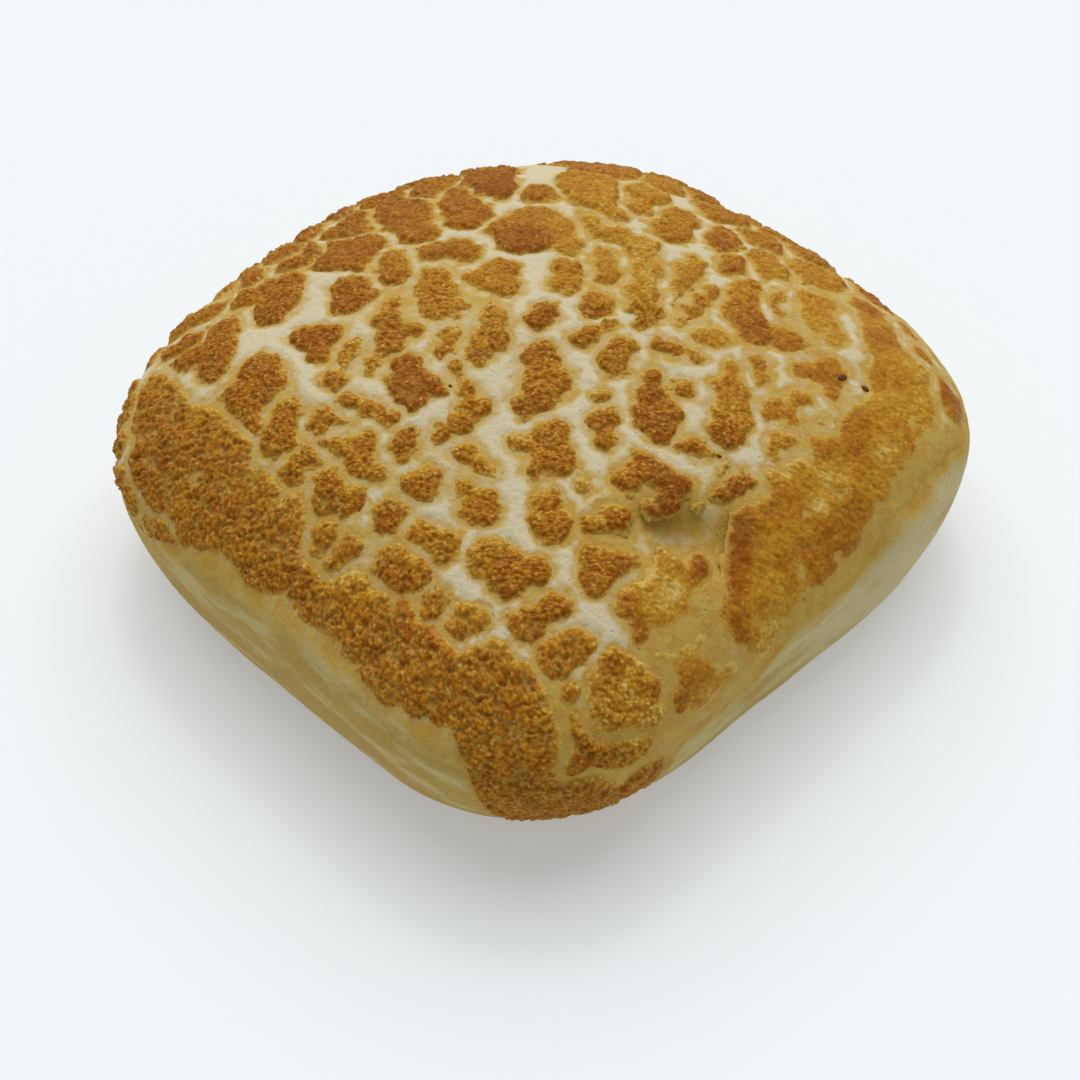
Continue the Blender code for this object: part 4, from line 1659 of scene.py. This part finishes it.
class LOAF_OT_stage(bpy.types.Operator):
    """Sets the camera, the lights and the floor"""

    bl_idname = "loaf.stage"
    bl_label = "Stage"

    def execute(self, context):
        stage = context.scene.loaf_stage
        scene = context.scene
        scene.view_settings.view_transform = "Standard"
        # camera
        turn, rise = stage.heading, stage.elevation
        back = Vector((math.sin(turn) * math.cos(rise), -math.cos(turn) * math.cos(rise), math.sin(rise)))
        right = Vector((math.cos(turn), math.sin(turn), 0.0))
        up = back.cross(right)
        target = Vector((0.0, 0.0, AIM_HEIGHT)) + right * AIM_RIGHT - up * AIM_BELOW
        lens = bpy.data.cameras.new("camera")
        lens.lens = stage.lens
        lens.sensor_width = 36.0
        lens.clip_start = 0.01
        camera = bpy.data.objects.new("camera", lens)
        camera.location = target + back * stage.distance
        camera.rotation_euler = back.to_track_quat("Z", "Y").to_euler()
        scene.collection.objects.link(camera)
        scene.camera = camera
        # light
        world = bpy.data.worlds.new("surround")
        world.use_nodes = True
        world.node_tree.nodes["Background"].inputs[0].default_value = (0.94, 0.97, 1.0, 1.0)
        world.node_tree.nodes["Background"].inputs[1].default_value = stage.surround
        scene.world = world
        for name, power, spread in (("key", stage.key_power, 75), ("glint", stage.glint_power, 12)):
            light = bpy.data.lights.new(name, "SUN")
            light.energy = power
            light.angle = math.radians(spread)
            lamp = bpy.data.objects.new(name, light)
            lamp.rotation_euler = LIGHT_FROM.to_track_quat("Z", "Y").to_euler()
            scene.collection.objects.link(lamp)
        # floor
        flat = bmesh.new()
        bmesh.ops.create_grid(flat, x_segments=2, y_segments=2, size=FLOOR_HALF_WIDTH)
        mesh = bpy.data.meshes.new("floor")
        flat.to_mesh(mesh)
        flat.free()
        mesh.materials.append(floor_material(stage))
        mesh.transform(Matrix.Translation((0.0, 0.0, LOAF_LOW.z - FLOOR_GAP)))
        floor = link_object("floor", mesh)
        return {"FINISHED"}


class LOAF_PT_panel(bpy.types.Panel):
    """Lists the loaf's sizes, colours and makers in the sidebar"""

    bl_idname = "LOAF_PT_panel"
    bl_label = "Tiger bread loaf"
    bl_space_type = "VIEW_3D"
    bl_region_type = "UI"
    bl_category = "Loaf"

    def draw(self, context):
        layout = self.layout
        for holder in ("loaf_sizes", "loaf_colours", "loaf_stage"):
            group = getattr(context.scene, holder)
            box = layout.box()
            for name in group.__annotations__:
                box.prop(group, name)
        for maker in MAKERS:
            layout.operator(maker.bl_idname)


MAKERS = (LOAF_OT_dough, LOAF_OT_crust, LOAF_OT_specks, LOAF_OT_stage)
HOLDERS = {"loaf_sizes": LoafSizes, "loaf_colours": LoafColours, "loaf_stage": LoafStage}


def register():
    """Registers the classes and hangs the sizes and colours on the scene."""
    for kind in (*HOLDERS.values(), *MAKERS, LOAF_PT_panel):
        bpy.utils.register_class(kind)
    for name, kind in HOLDERS.items():
        setattr(bpy.types.Scene, name, bpy.props.PointerProperty(type=kind))


def unregister():
    """Takes the classes and the scene's sizes and colours away again."""
    for name in HOLDERS:
        delattr(bpy.types.Scene, name)
    for kind in (LOAF_PT_panel, *reversed(MAKERS), *reversed(HOLDERS.values())):
        bpy.utils.unregister_class(kind)


def main():
    """Makes the loaf and its stage."""
    register()
    bpy.ops.loaf.dough()
    bpy.ops.loaf.crust()
    bpy.ops.loaf.specks()
    bpy.ops.loaf.stage()


if __name__ == "__main__":
    main()
